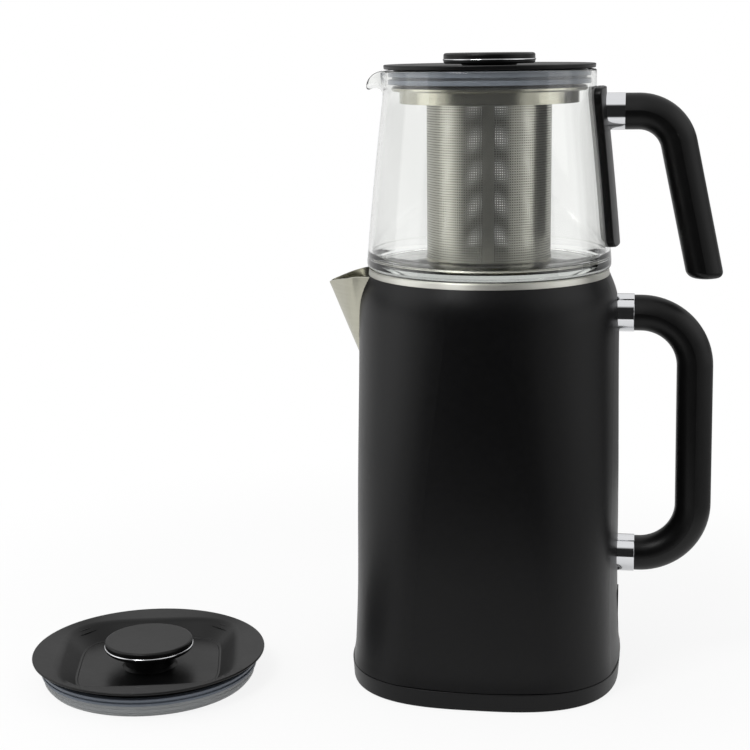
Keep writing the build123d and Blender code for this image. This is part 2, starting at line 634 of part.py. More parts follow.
with BuildPart() as base_screws:
    with BuildSketch(Plane.XY.offset(BASE_LIFT)):
        with PolarLocations(COUPLER_SCREWS, 3, 30):
            Circle(SCREW_RADIUS - SEAT_GAP / 2)
    extrude(amount=BOTTOM_PLATE + COUPLER_SCREW_BITE)
save(base_screws.part, "base_screws")

with BuildPart() as cord_gland:
    add(rod_y(GLAND_RADIUS, GLAND_START, GLAND_WALL, GLAND_Z))
    add(rod_y(GLAND_FLANGE, GLAND_WALL, GLAND_WALL + GLAND_FLANGE_DEPTH, GLAND_Z))
    add(rod_y(CORD_HOLE_RADIUS, GLAND_START, GLAND_WALL + GLAND_FLANGE_DEPTH, GLAND_Z), mode=Mode.SUBTRACT)
save(cord_gland.part, "cord_gland")

# ---------------------------------------------------------------- kettle body
spout_opening = spout_form(-SEAT_GAP, NECK_HEIGHT)
with BuildPart() as body_shell:
    add(body_form(0, KETTLE_LOW, BODY_TOP))
    add(body_form(SHELL_WALL, KETTLE_LOW - 1, BODY_TOP + 1), mode=Mode.SUBTRACT)
    add(spout_opening, mode=Mode.SUBTRACT)
    for z in (HANDLE_TOP_Z, HANDLE_LOW_Z):
        seat = body_half(z) - SCREW_SEAT
        add(rod_x(SCREW_RADIUS + SEAT_GAP, seat - CUT_REACH, BODY_HALF_FOOT, z), mode=Mode.SUBTRACT)
        add(rod_x(SCREW_HEAD_RADIUS + SEAT_GAP, seat - CUT_REACH, seat, z), mode=Mode.SUBTRACT)
    with BuildSketch(Plane.YZ.offset(BODY_HALF_TOP - CUT_REACH)):
        with Locations((0, SWITCH_Z)):
            RectangleRounded(SWITCH_WIDTH + 2 * SEAT_GAP, SWITCH_HEIGHT + 2 * SEAT_GAP, SWITCH_CORNER)
    extrude(amount=2 * CUT_REACH, mode=Mode.SUBTRACT)
save(body_shell.part, "kettle_shell")

with BuildPart() as bottom_cover:
    add(body_form(SHELL_WALL + SEAT_GAP, KETTLE_LOW, COVER_TOP))
    with BuildSketch(Plane.XY.offset(KETTLE_LOW)):
        Circle(COUPLER_RADIUS + BOSS_PLAY + BOSS_WALL)
    extrude(amount=SOCKET_LOW + BOSS_FLOOR - KETTLE_LOW)
    with BuildSketch(Plane.XY.offset(KETTLE_LOW)):
        Circle(COUPLER_RADIUS + BOSS_PLAY)
    extrude(amount=SOCKET_LOW - KETTLE_LOW, mode=Mode.SUBTRACT)
    with BuildSketch(Plane.XY.offset(KETTLE_LOW)):
        Circle(SOCKET_BORE)
    extrude(amount=SOCKET_LOW + BOSS_FLOOR - KETTLE_LOW, mode=Mode.SUBTRACT)
save(bottom_cover.part, "kettle_bottom_cover")

with BuildPart() as vessel:
    with BuildSketch(Plane.XZ):
        with BuildLine():
            Polyline(
                (0, VESSEL_FLOOR),
                (VESSEL_OUTER, VESSEL_FLOOR),
                (VESSEL_OUTER, BODY_TOP),
                (0, BODY_TOP),
                close=True,
            )
        make_face()
    revolve(axis=Axis.Z)
    fillet(vessel.edges().filter_by(GeomType.CIRCLE).sort_by(Axis.Z)[0], VESSEL_CORNER)
    offset(amount=-VESSEL_WALL, openings=vessel.faces().sort_by(Axis.Z)[-1])
    add(spout_form(SPOUT_WALL, 0.0), mode=Mode.SUBTRACT)
save(vessel.part, "kettle_vessel")

with BuildPart() as neck_ring:
    with BuildSketch(Plane.XZ):
        with BuildLine():
            Polyline(
                (VESSEL_RADIUS, BODY_TOP),
                (NECK_RADIUS, BODY_TOP),
                (NECK_RADIUS, NECK_TOP),
                (VESSEL_RADIUS, NECK_TOP),
                close=True,
            )
        make_face()
    revolve(axis=Axis.Z)
    fillet(neck_ring.faces().sort_by(Axis.Z)[-1].edges(), NECK_ROUND)
save(neck_ring.part, "neck_ring")

with BuildPart() as spout:
    add(spout_form(0, 0.0))
    add(spout_form(SPOUT_WALL, NECK_HEIGHT), mode=Mode.SUBTRACT)
    add(ring(0, VESSEL_OUTER, SPOUT_ROOT_LOW - CUT_REACH, BODY_TOP), mode=Mode.SUBTRACT)
save(spout.part, "spout")

with BuildPart() as spout_filter:
    with BuildSketch(Plane.XY.offset(FILTER_LOW)):
        Circle(VESSEL_RADIUS - SEAT_GAP)
        Circle(VESSEL_RADIUS - SEAT_GAP - FILTER_THICKNESS, mode=Mode.SUBTRACT)
    extrude(amount=FILTER_TOP - FILTER_LOW)
    with BuildSketch(Plane.XY.offset(FILTER_LOW)):
        with Locations((-VESSEL_RADIUS, 0)):
            Rectangle(2 * VESSEL_RADIUS, 2 * FILTER_HALF)
    extrude(amount=FILTER_TOP - FILTER_LOW, mode=Mode.INTERSECT)
    with BuildSketch(Plane.YZ):
        with Locations((0, (FILTER_LOW + FILTER_TOP) / 2)):
            with GridLocations(FILTER_PITCH, FILTER_ROW_PITCH, FILTER_COLUMNS, FILTER_ROWS):
                SlotOverall(FILTER_SLOT, FILTER_SLOT_WIDTH, rotation=90)
    extrude(amount=-2 * VESSEL_RADIUS, mode=Mode.SUBTRACT)
save(spout_filter.part, "spout_filter")

# ---------------------------------------------------------------- heater and control
save(ring(0, PLATE_RADIUS, PLATE_LOW, VESSEL_FLOOR), "heater_plate")

with BuildPart() as heating_element:
    with BuildSketch(Plane.XZ):
        with Locations((ELEMENT_RADIUS, PLATE_LOW - ELEMENT_TUBE_RADIUS)):
            Circle(ELEMENT_TUBE_RADIUS)
    revolve(axis=Axis.Z, revolution_arc=360 - ELEMENT_OPENING)
save(heating_element.part, "heating_element")

with BuildPart() as control_unit:
    with BuildSketch(Plane.XY.offset(CONTROL_LOW)):
        Circle(CONTROL_RADIUS)
        with PolarLocations(CONTROL_RADIUS, 3, 60):
            Circle(CONTROL_LUG)
    extrude(amount=PLATE_LOW - CONTROL_LOW)
    fillet(control_unit.faces().sort_by(Axis.Z)[0].edges(), CONTROL_ROUND)
    with BuildSketch(Plane.XY.offset(CONTROL_LOW)):
        Circle(POST_RADIUS + CONTROL_POST_PLAY)
    extrude(amount=POST_TOP + CONTROL_POST_ROOM - CONTROL_LOW, mode=Mode.SUBTRACT)
save(control_unit.part, "control_unit")

with BuildPart() as kettle_socket:
    with BuildSketch(Plane.XZ):
        with BuildLine():
            Polyline(
                (POST_RADIUS + SLIDE_GAP, SOCKET_LOW),
                (SOCKET_BORE - SEAT_GAP, SOCKET_LOW),
                (SOCKET_BORE - SEAT_GAP, SOCKET_LOW + BOSS_FLOOR),
                (SOCKET_RADIUS, SOCKET_LOW + BOSS_FLOOR),
                (SOCKET_RADIUS, CONTROL_LOW),
                (POST_RADIUS + SLIDE_GAP, CONTROL_LOW),
                close=True,
            )
        make_face()
    revolve(axis=Axis.Z)
save(kettle_socket.part, "kettle_socket")

# ---------------------------------------------------------------- kettle handle
body_solid = body_form(0, KETTLE_LOW, BODY_TOP)
for name, z, end in (
    ("kettle_collar_upper", HANDLE_TOP_Z, HANDLE_TOP_START),
    ("kettle_collar_lower", HANDLE_LOW_Z, HANDLE_LOW_START),
):
    with BuildPart() as collar:
        add(rod_x(COLLAR_RADIUS, BODY_HALF_TOP - CUT_REACH, end, z))
        add(body_solid, mode=Mode.SUBTRACT)
        add(rod_x(SCREW_RADIUS + SEAT_GAP, BODY_HALF_TOP - CUT_REACH, end, z), mode=Mode.SUBTRACT)
        fillet(collar.faces().filter_by(Plane.YZ).sort_by(Axis.X)[-1].outer_wire().edges(), COLLAR_ROUND)
    save(collar.part, name)

with BuildPart() as kettle_grip:
    with BuildLine() as grip_path:
        corners = [
            (HANDLE_TOP_START, 0, HANDLE_TOP_Z),
            (HANDLE_REACH_TOP, 0, HANDLE_TOP_Z),
            (HANDLE_REACH_LOW, 0, HANDLE_LOW_Z),
            (HANDLE_LOW_START, 0, HANDLE_LOW_Z),
        ]
        FilletPolyline(*corners, radius=HANDLE_BEND)
    with BuildSketch(Plane.YZ.offset(HANDLE_TOP_START)):
        with Locations((0, HANDLE_TOP_Z)):
            Circle(GRIP_RADIUS)
    sweep()
    for z, start in ((HANDLE_TOP_Z, HANDLE_TOP_START), (HANDLE_LOW_Z, HANDLE_LOW_START)):
        bore_end = start + SCREW_BITE + SCREW_TIP_ROOM
        add(rod_x(SCREW_RADIUS + SEAT_GAP, start, bore_end, z), mode=Mode.SUBTRACT)
with BuildPart() as grip_inner_side:
    with BuildSketch(Plane.XZ):
        with BuildLine():
            FilletPolyline(*[(x, z) for x, y, z in corners], radius=HANDLE_BEND)
            Polyline(
                (HANDLE_LOW_START, HANDLE_LOW_Z),
                (BODY_HALF_TOP, HANDLE_LOW_Z),
                (BODY_HALF_TOP, HANDLE_TOP_Z),
                (HANDLE_TOP_START, HANDLE_TOP_Z),
            )
        make_face()
    extrude(amount=2 * GRIP_RADIUS, both=True)
with BuildPart() as kettle_grip_inner:
    add(kettle_grip.part)
    add(grip_inner_side.part, mode=Mode.INTERSECT)
save(kettle_grip_inner.part, "kettle_grip_inner")
with BuildPart() as kettle_grip_outer:
    add(kettle_grip.part)
    add(grip_inner_side.part, mode=Mode.SUBTRACT)
save(kettle_grip_outer.part, "kettle_grip_outer")

with BuildPart() as kettle_handle_screws:
    for z, start in ((HANDLE_TOP_Z, HANDLE_TOP_START), (HANDLE_LOW_Z, HANDLE_LOW_START)):
        seat = body_half(z) - SCREW_SEAT
        add(screw_x(seat, SCREW_HEAD, start + SCREW_BITE, z))
save(kettle_handle_screws.part, "kettle_handle_screws")

# ---------------------------------------------------------------- switch
SWITCH_FACE = body_half(SWITCH_Z)
ROCKER_PIN_X = SWITCH_FACE - ROCKER_PIN_DEPTH
with BuildPart() as switch_bezel:
    with BuildSketch(Plane.YZ.offset(SWITCH_FACE - BEZEL_DEPTH)):
        with Locations((0, SWITCH_Z)):
            RectangleRounded(SWITCH_WIDTH, SWITCH_HEIGHT, SWITCH_CORNER)
            Rectangle(
                SWITCH_WIDTH - 2 * BEZEL_RIM,
                SWITCH_HEIGHT - 2 * BEZEL_RIM,
                mode=Mode.SUBTRACT,
            )
    extrude(amount=BEZEL_DEPTH + BEZEL_PROUD)
    with BuildSketch(Plane.XZ):
        with Locations((ROCKER_PIN_X, SWITCH_Z)):
            Circle(ROCKER_PIN_RADIUS)
    extrude(amount=SWITCH_WIDTH, both=True, mode=Mode.SUBTRACT)
    with BuildSketch(Plane.YZ.offset(SWITCH_FACE - BEZEL_DEPTH - BEZEL_BACK)):
        with Locations((0, SWITCH_Z)):
            RectangleRounded(SWITCH_WIDTH, SWITCH_HEIGHT, SWITCH_CORNER)
    extrude(amount=BEZEL_BACK)
save(switch_bezel.part, "switch_bezel")

with BuildPart() as switch_pin:
    with BuildSketch(Plane.XZ):
        with Locations((ROCKER_PIN_X, SWITCH_Z)):
            Circle(ROCKER_PIN_RADIUS)
    extrude(amount=SWITCH_WIDTH / 2, both=True)
save(switch_pin.part, "switch_pin")

ROCKER_HALF = SWITCH_HEIGHT / 2 - BEZEL_RIM - SLIDE_GAP
ROCKER_HALF_WIDTH = SWITCH_WIDTH / 2 - BEZEL_RIM - SLIDE_GAP
with BuildPart() as switch_rocker:
    with BuildSketch(Plane.XZ):
        with BuildLine():
            back = ROCKER_PIN_X - ROCKER_BACK
            shoulder = SWITCH_FACE - ROCKER_SIDE
            top_end = SWITCH_Z + ROCKER_HALF - ROCKER_TAPER
            low_end = SWITCH_Z - ROCKER_HALF + ROCKER_TAPER
            ThreePointArc(
                (SWITCH_FACE, top_end - ROCKER_TAPER),
                (SWITCH_FACE - ROCKER_DIP, SWITCH_Z),
                (SWITCH_FACE, low_end + ROCKER_TAPER),
            )
            Polyline(
                (SWITCH_FACE, low_end + ROCKER_TAPER),
                (shoulder, low_end),
                (back, SWITCH_Z - ROCKER_BACK_HALF),
                (back, SWITCH_Z + ROCKER_BACK_HALF),
                (shoulder, top_end),
                (SWITCH_FACE, top_end - ROCKER_TAPER),
            )
        make_face()
    extrude(amount=ROCKER_HALF_WIDTH, both=True)
    with BuildSketch(Plane.XZ):
        with Locations((ROCKER_PIN_X, SWITCH_Z)):
            Circle(ROCKER_PIN_RADIUS + ROCKER_PIN_PLAY)
    extrude(amount=SWITCH_WIDTH, both=True, mode=Mode.SUBTRACT)
save(switch_rocker.part, "switch_rocker")

# ---------------------------------------------------------------- teapot
with BuildPart() as pot_glass:
    with BuildSketch(Plane.XZ):
        with BuildLine():
            add(pot_wall_line(0))
            Polyline(
                (POT_MOUTH_RADIUS, POT_TOP),
                (0, POT_TOP),
                (0, POT_LOW),
                (POT_BASE_RADIUS, POT_LOW),
                (POT_BASE_RADIUS, POT_BASE_Z),
            )
        make_face()
    revolve(axis=Axis.Z)
    fillet(pot_glass.edges().filter_by(GeomType.CIRCLE).group_by(Axis.Z)[0], POT_CORNER)
    with BuildSketch(pouring_side.offset(POT_INNER)):
        add(lip_outline(LIP_HALF_ROOT, POT_TOP, LIP_LOW, 0))
    with BuildSketch(pouring_side.offset(LIP_X)):
        add(lip_outline(LIP_HALF_TIP, LIP_TIP_TOP, LIP_TIP_LOW, 0))
    loft()
    with BuildSketch(Plane.XZ):
        with BuildLine():
            inner_low = POT_LOW + POT_FLOOR
            add(pot_wall_line(-POT_WALL))
            Polyline(
                (POT_INNER, POT_TOP),
                (0, POT_TOP),
                (0, inner_low),
                (POT_BASE_RADIUS - POT_WALL, inner_low),
                (POT_BASE_RADIUS - POT_WALL, POT_BASE_Z),
            )
        make_face()
    revolve(axis=Axis.Z, mode=Mode.SUBTRACT)
    with BuildSketch(pouring_side.offset(POT_INNER - POT_WALL)):
        add(lip_outline(LIP_HALF_ROOT, POT_TOP + LIP_CUT_RISE, LIP_LOW, LIP_WALL))
    with BuildSketch(pouring_side.offset(LIP_X + LIP_CUT_PAST)):
        add(lip_outline(LIP_HALF_TIP, LIP_TIP_TOP + LIP_CUT_RISE, LIP_TIP_LOW, LIP_WALL))
    loft(mode=Mode.SUBTRACT)
    with BuildSketch(Plane.XY.offset(POT_LOW - POT_FOOT_DEPTH)):
        Circle(POT_FOOT_RADIUS)
        Circle(POT_FOOT_RADIUS - POT_FOOT_WIDTH, mode=Mode.SUBTRACT)
    extrude(amount=POT_FOOT_DEPTH)
save(pot_glass.part, "teapot_glass")

# ---------------------------------------------------------------- teapot handle
def pot_band(inner, outer):
    """Solid between two offsets of the pot's side, cut to the rounded outline of the strap."""
    with BuildPart() as band:
        with BuildSketch(Plane.XZ):
            with BuildLine():
                add(pot_wall_line(inner))
                add(pot_wall_line(outer))
                Line((POT_BASE_RADIUS + inner, POT_BASE_Z), (POT_BASE_RADIUS + outer, POT_BASE_Z))
                Line((POT_MOUTH_RADIUS + inner, POT_TOP), (POT_MOUTH_RADIUS + outer, POT_TOP))
            make_face()
        revolve(axis=Axis.Z)
        with BuildSketch(Plane.YZ) as outline:
            low_half = pot_radius(STRAP_LOW) * sin(radians(STRAP_HALF_ANGLE))
            top_half = pot_radius(STRAP_TOP) * sin(radians(STRAP_HALF_ANGLE))
            Polygon(
                (-low_half, STRAP_LOW),
                (low_half, STRAP_LOW),
                (top_half, STRAP_TOP),
                (-top_half, STRAP_TOP),
                align=None,
            )
            fillet(outline.vertices(), STRAP_CORNER)
        extrude(amount=2 * POT_BASE_RADIUS, mode=Mode.INTERSECT)
    return band.part


POT_SCREW_SEAT = pot_radius(POT_HANDLE_Z) + PAD_THICKNESS + STRAP_SCREW_SEAT
POT_COLLAR_END = pot_radius(POT_HANDLE_Z) + STRAP_OUTSIDE + POT_COLLAR_LENGTH
POT_BEND_START = POT_COLLAR_END + POT_GRIP_RUN
pot_screw_end = POT_COLLAR_END + SCREW_BITE
pot_screw_bore = rod_x(SCREW_RADIUS + SEAT_GAP, POT_INNER, pot_screw_end + SCREW_TIP_ROOM, POT_HANDLE_Z)
pot_head_bore = rod_x(SCREW_HEAD_RADIUS + SEAT_GAP, POT_INNER, POT_SCREW_SEAT, POT_HANDLE_Z)
with BuildPart() as strap_pad:
    add(pot_band(0, PAD_THICKNESS - SEAT_GAP / 2))
    add(pot_head_bore, mode=Mode.SUBTRACT)
save(strap_pad.part, "strap_pad")

with BuildPart() as teapot_strap:
    add(pot_band(PAD_THICKNESS, STRAP_OUTSIDE))
    outside = teapot_strap.faces().sort_by(Axis.X)[-2:].edges()
    rim = outside.filter_by(lambda edge: abs(edge.center().Z - POT_SHOULDER_Z) > STRAP_EDGE)
    fillet(rim, STRAP_EDGE)
    add(pot_head_bore, mode=Mode.SUBTRACT)
    add(pot_screw_bore, mode=Mode.SUBTRACT)
save(teapot_strap.part, "teapot_strap")

with BuildPart() as teapot_collar:
    add(rod_x(POT_COLLAR_RADIUS, POT_MOUTH_RADIUS, POT_COLLAR_END, POT_HANDLE_Z))
    with BuildSketch(Plane.XZ):
        with BuildLine():
            add(pot_wall_line(STRAP_OUTSIDE))
            Polyline(
                (POT_MOUTH_RADIUS + STRAP_OUTSIDE, POT_TOP),
                (0, POT_TOP),
                (0, POT_BASE_Z),
                (POT_BASE_RADIUS + STRAP_OUTSIDE, POT_BASE_Z),
            )
        make_face()
    revolve(axis=Axis.Z, mode=Mode.SUBTRACT)
    add(pot_screw_bore, mode=Mode.SUBTRACT)
save(teapot_collar.part, "teapot_collar")

tilt = radians(POT_GRIP_TILT)
bend_centre = (POT_BEND_START, POT_HANDLE_Z - POT_BEND)
bend_end = (bend_centre[0] + POT_BEND * cos(tilt), bend_centre[1] + POT_BEND * sin(tilt))
bend_middle_angle = (radians(90) + tilt) / 2
bend_middle = (
    bend_centre[0] + POT_BEND * cos(bend_middle_angle),
    bend_centre[1] + POT_BEND * sin(bend_middle_angle),
)
POT_GRIP_LENGTH = (bend_end[1] - POT_LOW + POT_GRIP_DROP) / cos(tilt)


def grip_point(length):
    """Point on the straight part of the teapot grip's centreline, in X and Z."""
    return (bend_end[0] + length * sin(tilt), bend_end[1] - length * cos(tilt))


with BuildPart() as teapot_grip:
    with BuildLine(Plane.XZ):
        Line((POT_COLLAR_END, POT_HANDLE_Z), (POT_BEND_START, POT_HANDLE_Z))
        ThreePointArc((POT_BEND_START, POT_HANDLE_Z), bend_middle, bend_end)
        Line(bend_end, grip_point(POT_GRIP_LENGTH))
    with BuildSketch(Plane.YZ.offset(POT_COLLAR_END)):
        with Locations((0, POT_HANDLE_Z)):
            Circle(POT_GRIP_RADIUS)
    sweep()
    fillet(teapot_grip.faces().sort_by(Axis.Z)[0].edges(), GRIP_END_ROUND)
    add(pot_screw_bore, mode=Mode.SUBTRACT)
with BuildPart() as grip_underside:
    with BuildSketch(Plane.XZ):
        with BuildLine():
            Line((POT_COLLAR_END - CUT_REACH, POT_HANDLE_Z), (POT_BEND_START, POT_HANDLE_Z))
            ThreePointArc((POT_BEND_START, POT_HANDLE_Z), bend_middle, bend_end)
            Polyline(
                bend_end,
                grip_point(POT_GRIP_LENGTH + POT_GRIP_RADIUS),
                (POT_COLLAR_END - CUT_REACH, grip_point(POT_GRIP_LENGTH + POT_GRIP_RADIUS)[1]),
                (POT_COLLAR_END - CUT_REACH, POT_HANDLE_Z),
            )
        make_face()
    extrude(amount=2 * POT_GRIP_RADIUS, both=True)
with BuildPart() as teapot_grip_inner:
    add(teapot_grip.part)
    add(grip_underside.part, mode=Mode.INTERSECT)
save(teapot_grip_inner.part, "teapot_grip_inner")
with BuildPart() as teapot_grip_outer:
    add(teapot_grip.part)
    add(grip_underside.part, mode=Mode.SUBTRACT)
save(teapot_grip_outer.part, "teapot_grip_outer")

save(
    screw_x(POT_SCREW_SEAT, SCREW_HEAD, pot_screw_end, POT_HANDLE_Z),
    "teapot_handle_screw",
)

# ---------------------------------------------------------------- infuser
def catch_sectors(inner, outer, low, high, half, turn):
    """Three ring sectors of a half angle, one per bayonet catch, turned about Z."""
    with BuildPart() as sector:
        with BuildSketch(Plane.XZ):
            with Locations(((inner + outer) / 2, (low + high) / 2)):
                Rectangle(outer - inner, high - low)
        revolve(axis=Axis.Z, revolution_arc=2 * half)
    with BuildPart() as sectors:
        for step in range(3):
            add(sector.part.rotate(Axis.Z, turn - half + 120 * step))
    return sectors.part


with BuildPart() as infuser_rim:
    with BuildSketch(Plane.XZ):
        with BuildLine():
            Polyline(
                (CATCH_INNER, INFUSER_TOP),
                (FLANGE_RADIUS - FLANGE_ROUND, INFUSER_TOP),
                (FLANGE_RADIUS, INFUSER_TOP - FLANGE_ROUND),
                (FLANGE_RADIUS, FLANGE_LOW + FLANGE_ROUND),
                (FLANGE_RADIUS - FLANGE_ROUND, FLANGE_LOW),
                (RIM_RADIUS, FLANGE_LOW),
                (RIM_RADIUS, RIM_LOW),
                (SIEVE_RADIUS, RIM_LOW),
                (SIEVE_RADIUS, RIM_LOW + SHEET),
                (RIM_RADIUS - SHEET, RIM_LOW + SHEET),
                (RIM_RADIUS - SHEET, FLANGE_LOW + SHEET),
                (CATCH_INNER, FLANGE_LOW + SHEET),
                close=True,
            )
        make_face()
    revolve(axis=Axis.Z)
    notch_reach = RIM_RADIUS - SHEET - SEAT_GAP
    notch_low = FLANGE_LOW - CATCH_PLAY
    notch_top = INFUSER_TOP + CATCH_PLAY
    notch_inner = CATCH_INNER - CATCH_PLAY
    notches = catch_sectors(notch_inner, notch_reach, notch_low, notch_top, NOTCH_HALF_ANGLE, TWIST_RANGE)
    add(notches, mode=Mode.SUBTRACT)
save(infuser_rim.part, "infuser_rim")

save(ring(SIEVE_RADIUS - SHEET, SIEVE_RADIUS, SIEVE_LOW + SHEET, RIM_LOW + SHEET), "infuser_sieve")

with BuildPart() as infuser_base:
    with BuildSketch(Plane.XY.offset(SIEVE_LOW)):
        Circle(SIEVE_RADIUS + SIEVE_FOOT_WALL)
    extrude(amount=SIEVE_FOOT)
    fillet(infuser_base.faces().sort_by(Axis.Z)[0].edges(), SIEVE_FOOT_ROUND)
    with BuildSketch(Plane.XY.offset(SIEVE_LOW + SHEET)):
        Circle(SIEVE_RADIUS)
    extrude(amount=SIEVE_FOOT, mode=Mode.SUBTRACT)
save(infuser_base.part, "infuser_base")


# ---------------------------------------------------------------- lids
def lid_cover(brim_radius, plug_radius, well_half, top, low):
    """Lid moulding: a rounded brim, a hollow plug and a dished soft-square finger well."""
    brim_low = top - BRIM_THICKNESS
    floor = top - WELL_DEPTH
    opening_half = well_half + WELL_SLOPE
    with BuildPart() as cover:
        with BuildSketch(Plane.XY.offset(brim_low)):
            Circle(brim_radius)
        extrude(amount=BRIM_THICKNESS)
        fillet(cover.edges().filter_by(GeomType.CIRCLE).group_by(Axis.Z)[-1], BRIM_ROUND)
        with BuildSketch(Plane.XY.offset(low)):
            Circle(plug_radius)
        extrude(amount=brim_low - low)
        with BuildSketch(Plane.XY.offset(floor)):
            RectangleRounded(2 * well_half, 2 * well_half, well_half / 2)
        with BuildSketch(Plane.XY.offset(top)):
            RectangleRounded(2 * opening_half, 2 * opening_half, opening_half / 2)
        loft(mode=Mode.SUBTRACT)
        level_faces = cover.faces().filter_by(Plane.XY)
        floor_face = level_faces.filter_by_position(Axis.Z, floor - SEAT_GAP, floor + SEAT_GAP)[0]
        fillet(floor_face.edges(), WELL_ROUND)
        top_face = cover.faces().sort_by(Axis.Z)[-1]
        fillet(top_face.inner_wires()[0].edges(), WELL_LIP_ROUND)
        with BuildSketch(Plane.XY.offset(low)):
            Circle(plug_radius - LID_WALL)
            RectangleRounded(
                2 * opening_half + LID_WALL,
                2 * opening_half + LID_WALL,
                opening_half / 2,
                mode=Mode.SUBTRACT,
            )
        extrude(amount=brim_low - low, mode=Mode.SUBTRACT)
        with BuildSketch(Plane.XY.offset(low)):
            Circle(SCREW_RADIUS + SEAT_GAP)
        extrude(amount=floor - low, mode=Mode.SUBTRACT)
    return cover.part


def lid_seal(inner, outer, low, top):
    """Seal with two lips around a plug."""
    lip = (top - low) * SEAL_LIP_SHARE
    root = outer - SEAL_LIP
    edge = outer - SEAL_EDGE
    with BuildPart() as seal:
        with BuildSketch(Plane.XZ):
            with BuildLine():
                Polyline(
                    (inner, low),
                    (edge, low),
                    (outer, low + lip / 2),
                    (edge, low + lip),
                    (root, low + lip + SEAL_EDGE),
                    (root, top - lip - SEAL_EDGE),
                    (edge, top - lip),
                    (outer, top - lip / 2),
                    (edge, top),
                    (inner, top),
                    close=True,
                )
            make_face()
        revolve(axis=Axis.Z)
    return seal.part


def knob_base(top):
    """Stem from the well's floor with the knob's lower disc and the spigot for the ring."""
    low = top + KNOB_GAP
    with BuildPart() as base:
        with BuildSketch(Plane.XZ):
            with BuildLine():
                Polyline(
                    (0, top - WELL_DEPTH),
                    (STEM_RADIUS + STEM_FLARE, top - WELL_DEPTH),
                    (STEM_RADIUS, top - WELL_DEPTH + STEM_FLARE),
                    (STEM_RADIUS, low - STEM_FLARE),
                    (STEM_RADIUS + STEM_FLARE, low),
                    (KNOB_RADIUS - KNOB_EDGE, low),
                    (KNOB_RADIUS, low + KNOB_EDGE),
                    (KNOB_RADIUS, low + KNOB_BASE),
                    (KNOB_RADIUS - KNOB_RING_DEPTH, low + KNOB_BASE),
                    (KNOB_RADIUS - KNOB_RING_DEPTH, low + KNOB_BASE + KNOB_RING),
                    (0, low + KNOB_BASE + KNOB_RING),
                    close=True,
                )
            make_face()
        revolve(axis=Axis.Z)
        with BuildSketch(Plane.XY.offset(top - WELL_DEPTH)):
            Circle(SCREW_RADIUS + SEAT_GAP)
        extrude(amount=LID_SCREW_BITE + SCREW_TIP_ROOM, mode=Mode.SUBTRACT)
    return base.part


def knob_ring(top):
    """Bright ring around the knob, between its base and its cap."""
    low = top + KNOB_GAP + KNOB_BASE
    return ring(KNOB_RADIUS - KNOB_RING_DEPTH, KNOB_RADIUS + KNOB_RING_PROUD, low, low + KNOB_RING)


def knob_cap(top):
    """Cap of the knob with a rounded upper edge."""
    with BuildPart() as cap:
        with BuildSketch(Plane.XY.offset(top + KNOB_GAP + KNOB_BASE + KNOB_RING)):
            Circle(KNOB_RADIUS)
        extrude(amount=KNOB_CAP)
        fillet(cap.faces().sort_by(Axis.Z)[-1].edges(), KNOB_CAP_ROUND)
    return cap.part


def lid_screw(low, top):
    """Screw up through the well's floor into the stem."""
    with BuildPart() as screw:
        with BuildSketch(Plane.XY.offset(low - SCREW_HEAD)):
            Circle(SCREW_HEAD_RADIUS)
        extrude(amount=SCREW_HEAD)
        with BuildSketch(Plane.XY.offset(low)):
            Circle(SCREW_RADIUS)
        extrude(amount=top - low)
    return screw.part


tea_cover = lid_cover(TEA_BRIM_RADIUS, TEA_PLUG_RADIUS, TEA_WELL_HALF, TEA_LID_TOP, TEA_PLUG_LOW)
save(tea_cover, "teapot_lid_cover")
save(lid_seal(TEA_PLUG_RADIUS, TEA_SEAL_RADIUS, TEA_PLUG_LOW, TEA_SEAL_TOP), "teapot_lid_seal")
save(knob_base(TEA_LID_TOP), "teapot_knob_base")
save(knob_ring(TEA_LID_TOP), "teapot_knob_ring")
save(knob_cap(TEA_LID_TOP), "teapot_knob_cap")
save(lid_screw(TEA_PLUG_LOW, TEA_WELL_FLOOR + LID_SCREW_BITE), "teapot_lid_screw")

with BuildPart() as infuser_carrier:
    with BuildSketch(Plane.XY.offset(CARRIER_LOW)):
        Circle(CATCH_INNER - SEAT_GAP)
        Circle(CATCH_INNER - CARRIER_WALL, mode=Mode.SUBTRACT)
    extrude(amount=TEA_PLUG_LOW - CARRIER_LOW)
    catch_top = FLANGE_LOW + SHEET - SEAT_GAP
    catch_root = CATCH_INNER - CARRIER_WALL
    add(catch_sectors(catch_root, CARRIER_REACH, CARRIER_LOW, catch_top, CATCH_HALF_ANGLE, 0))
save(infuser_carrier.part, "infuser_carrier")

lid_place = Location((KETTLE_LID_X, KETTLE_LID_Y, 0), (0, 0, KETTLE_LID_TURN))
loose_cover = lid_cover(
    KETTLE_BRIM_RADIUS,
    KETTLE_PLUG_RADIUS,
    KETTLE_WELL_HALF,
    KETTLE_LID_TOP,
    KETTLE_PLUG_LOW,
)
save(loose_cover.moved(lid_place), "kettle_lid_cover")
loose_seal = lid_seal(KETTLE_PLUG_RADIUS, KETTLE_SEAL_RADIUS, KETTLE_SKIRT_HEIGHT, KETTLE_SEAL_TOP)
save(loose_seal.moved(lid_place), "kettle_lid_seal")
loose_skirt = ring(KETTLE_PLUG_RADIUS, KETTLE_SKIRT_RADIUS, 0, KETTLE_SKIRT_HEIGHT)
save(loose_skirt.moved(lid_place), "kettle_lid_skirt")
save(knob_base(KETTLE_LID_TOP).moved(lid_place), "kettle_knob_base")
save(knob_ring(KETTLE_LID_TOP).moved(lid_place), "kettle_knob_ring")
save(knob_cap(KETTLE_LID_TOP).moved(lid_place), "kettle_knob_cap")
loose_screw = lid_screw(KETTLE_PLUG_LOW, KETTLE_WELL_FLOOR + LID_SCREW_BITE)
save(loose_screw.moved(lid_place), "kettle_lid_screw")
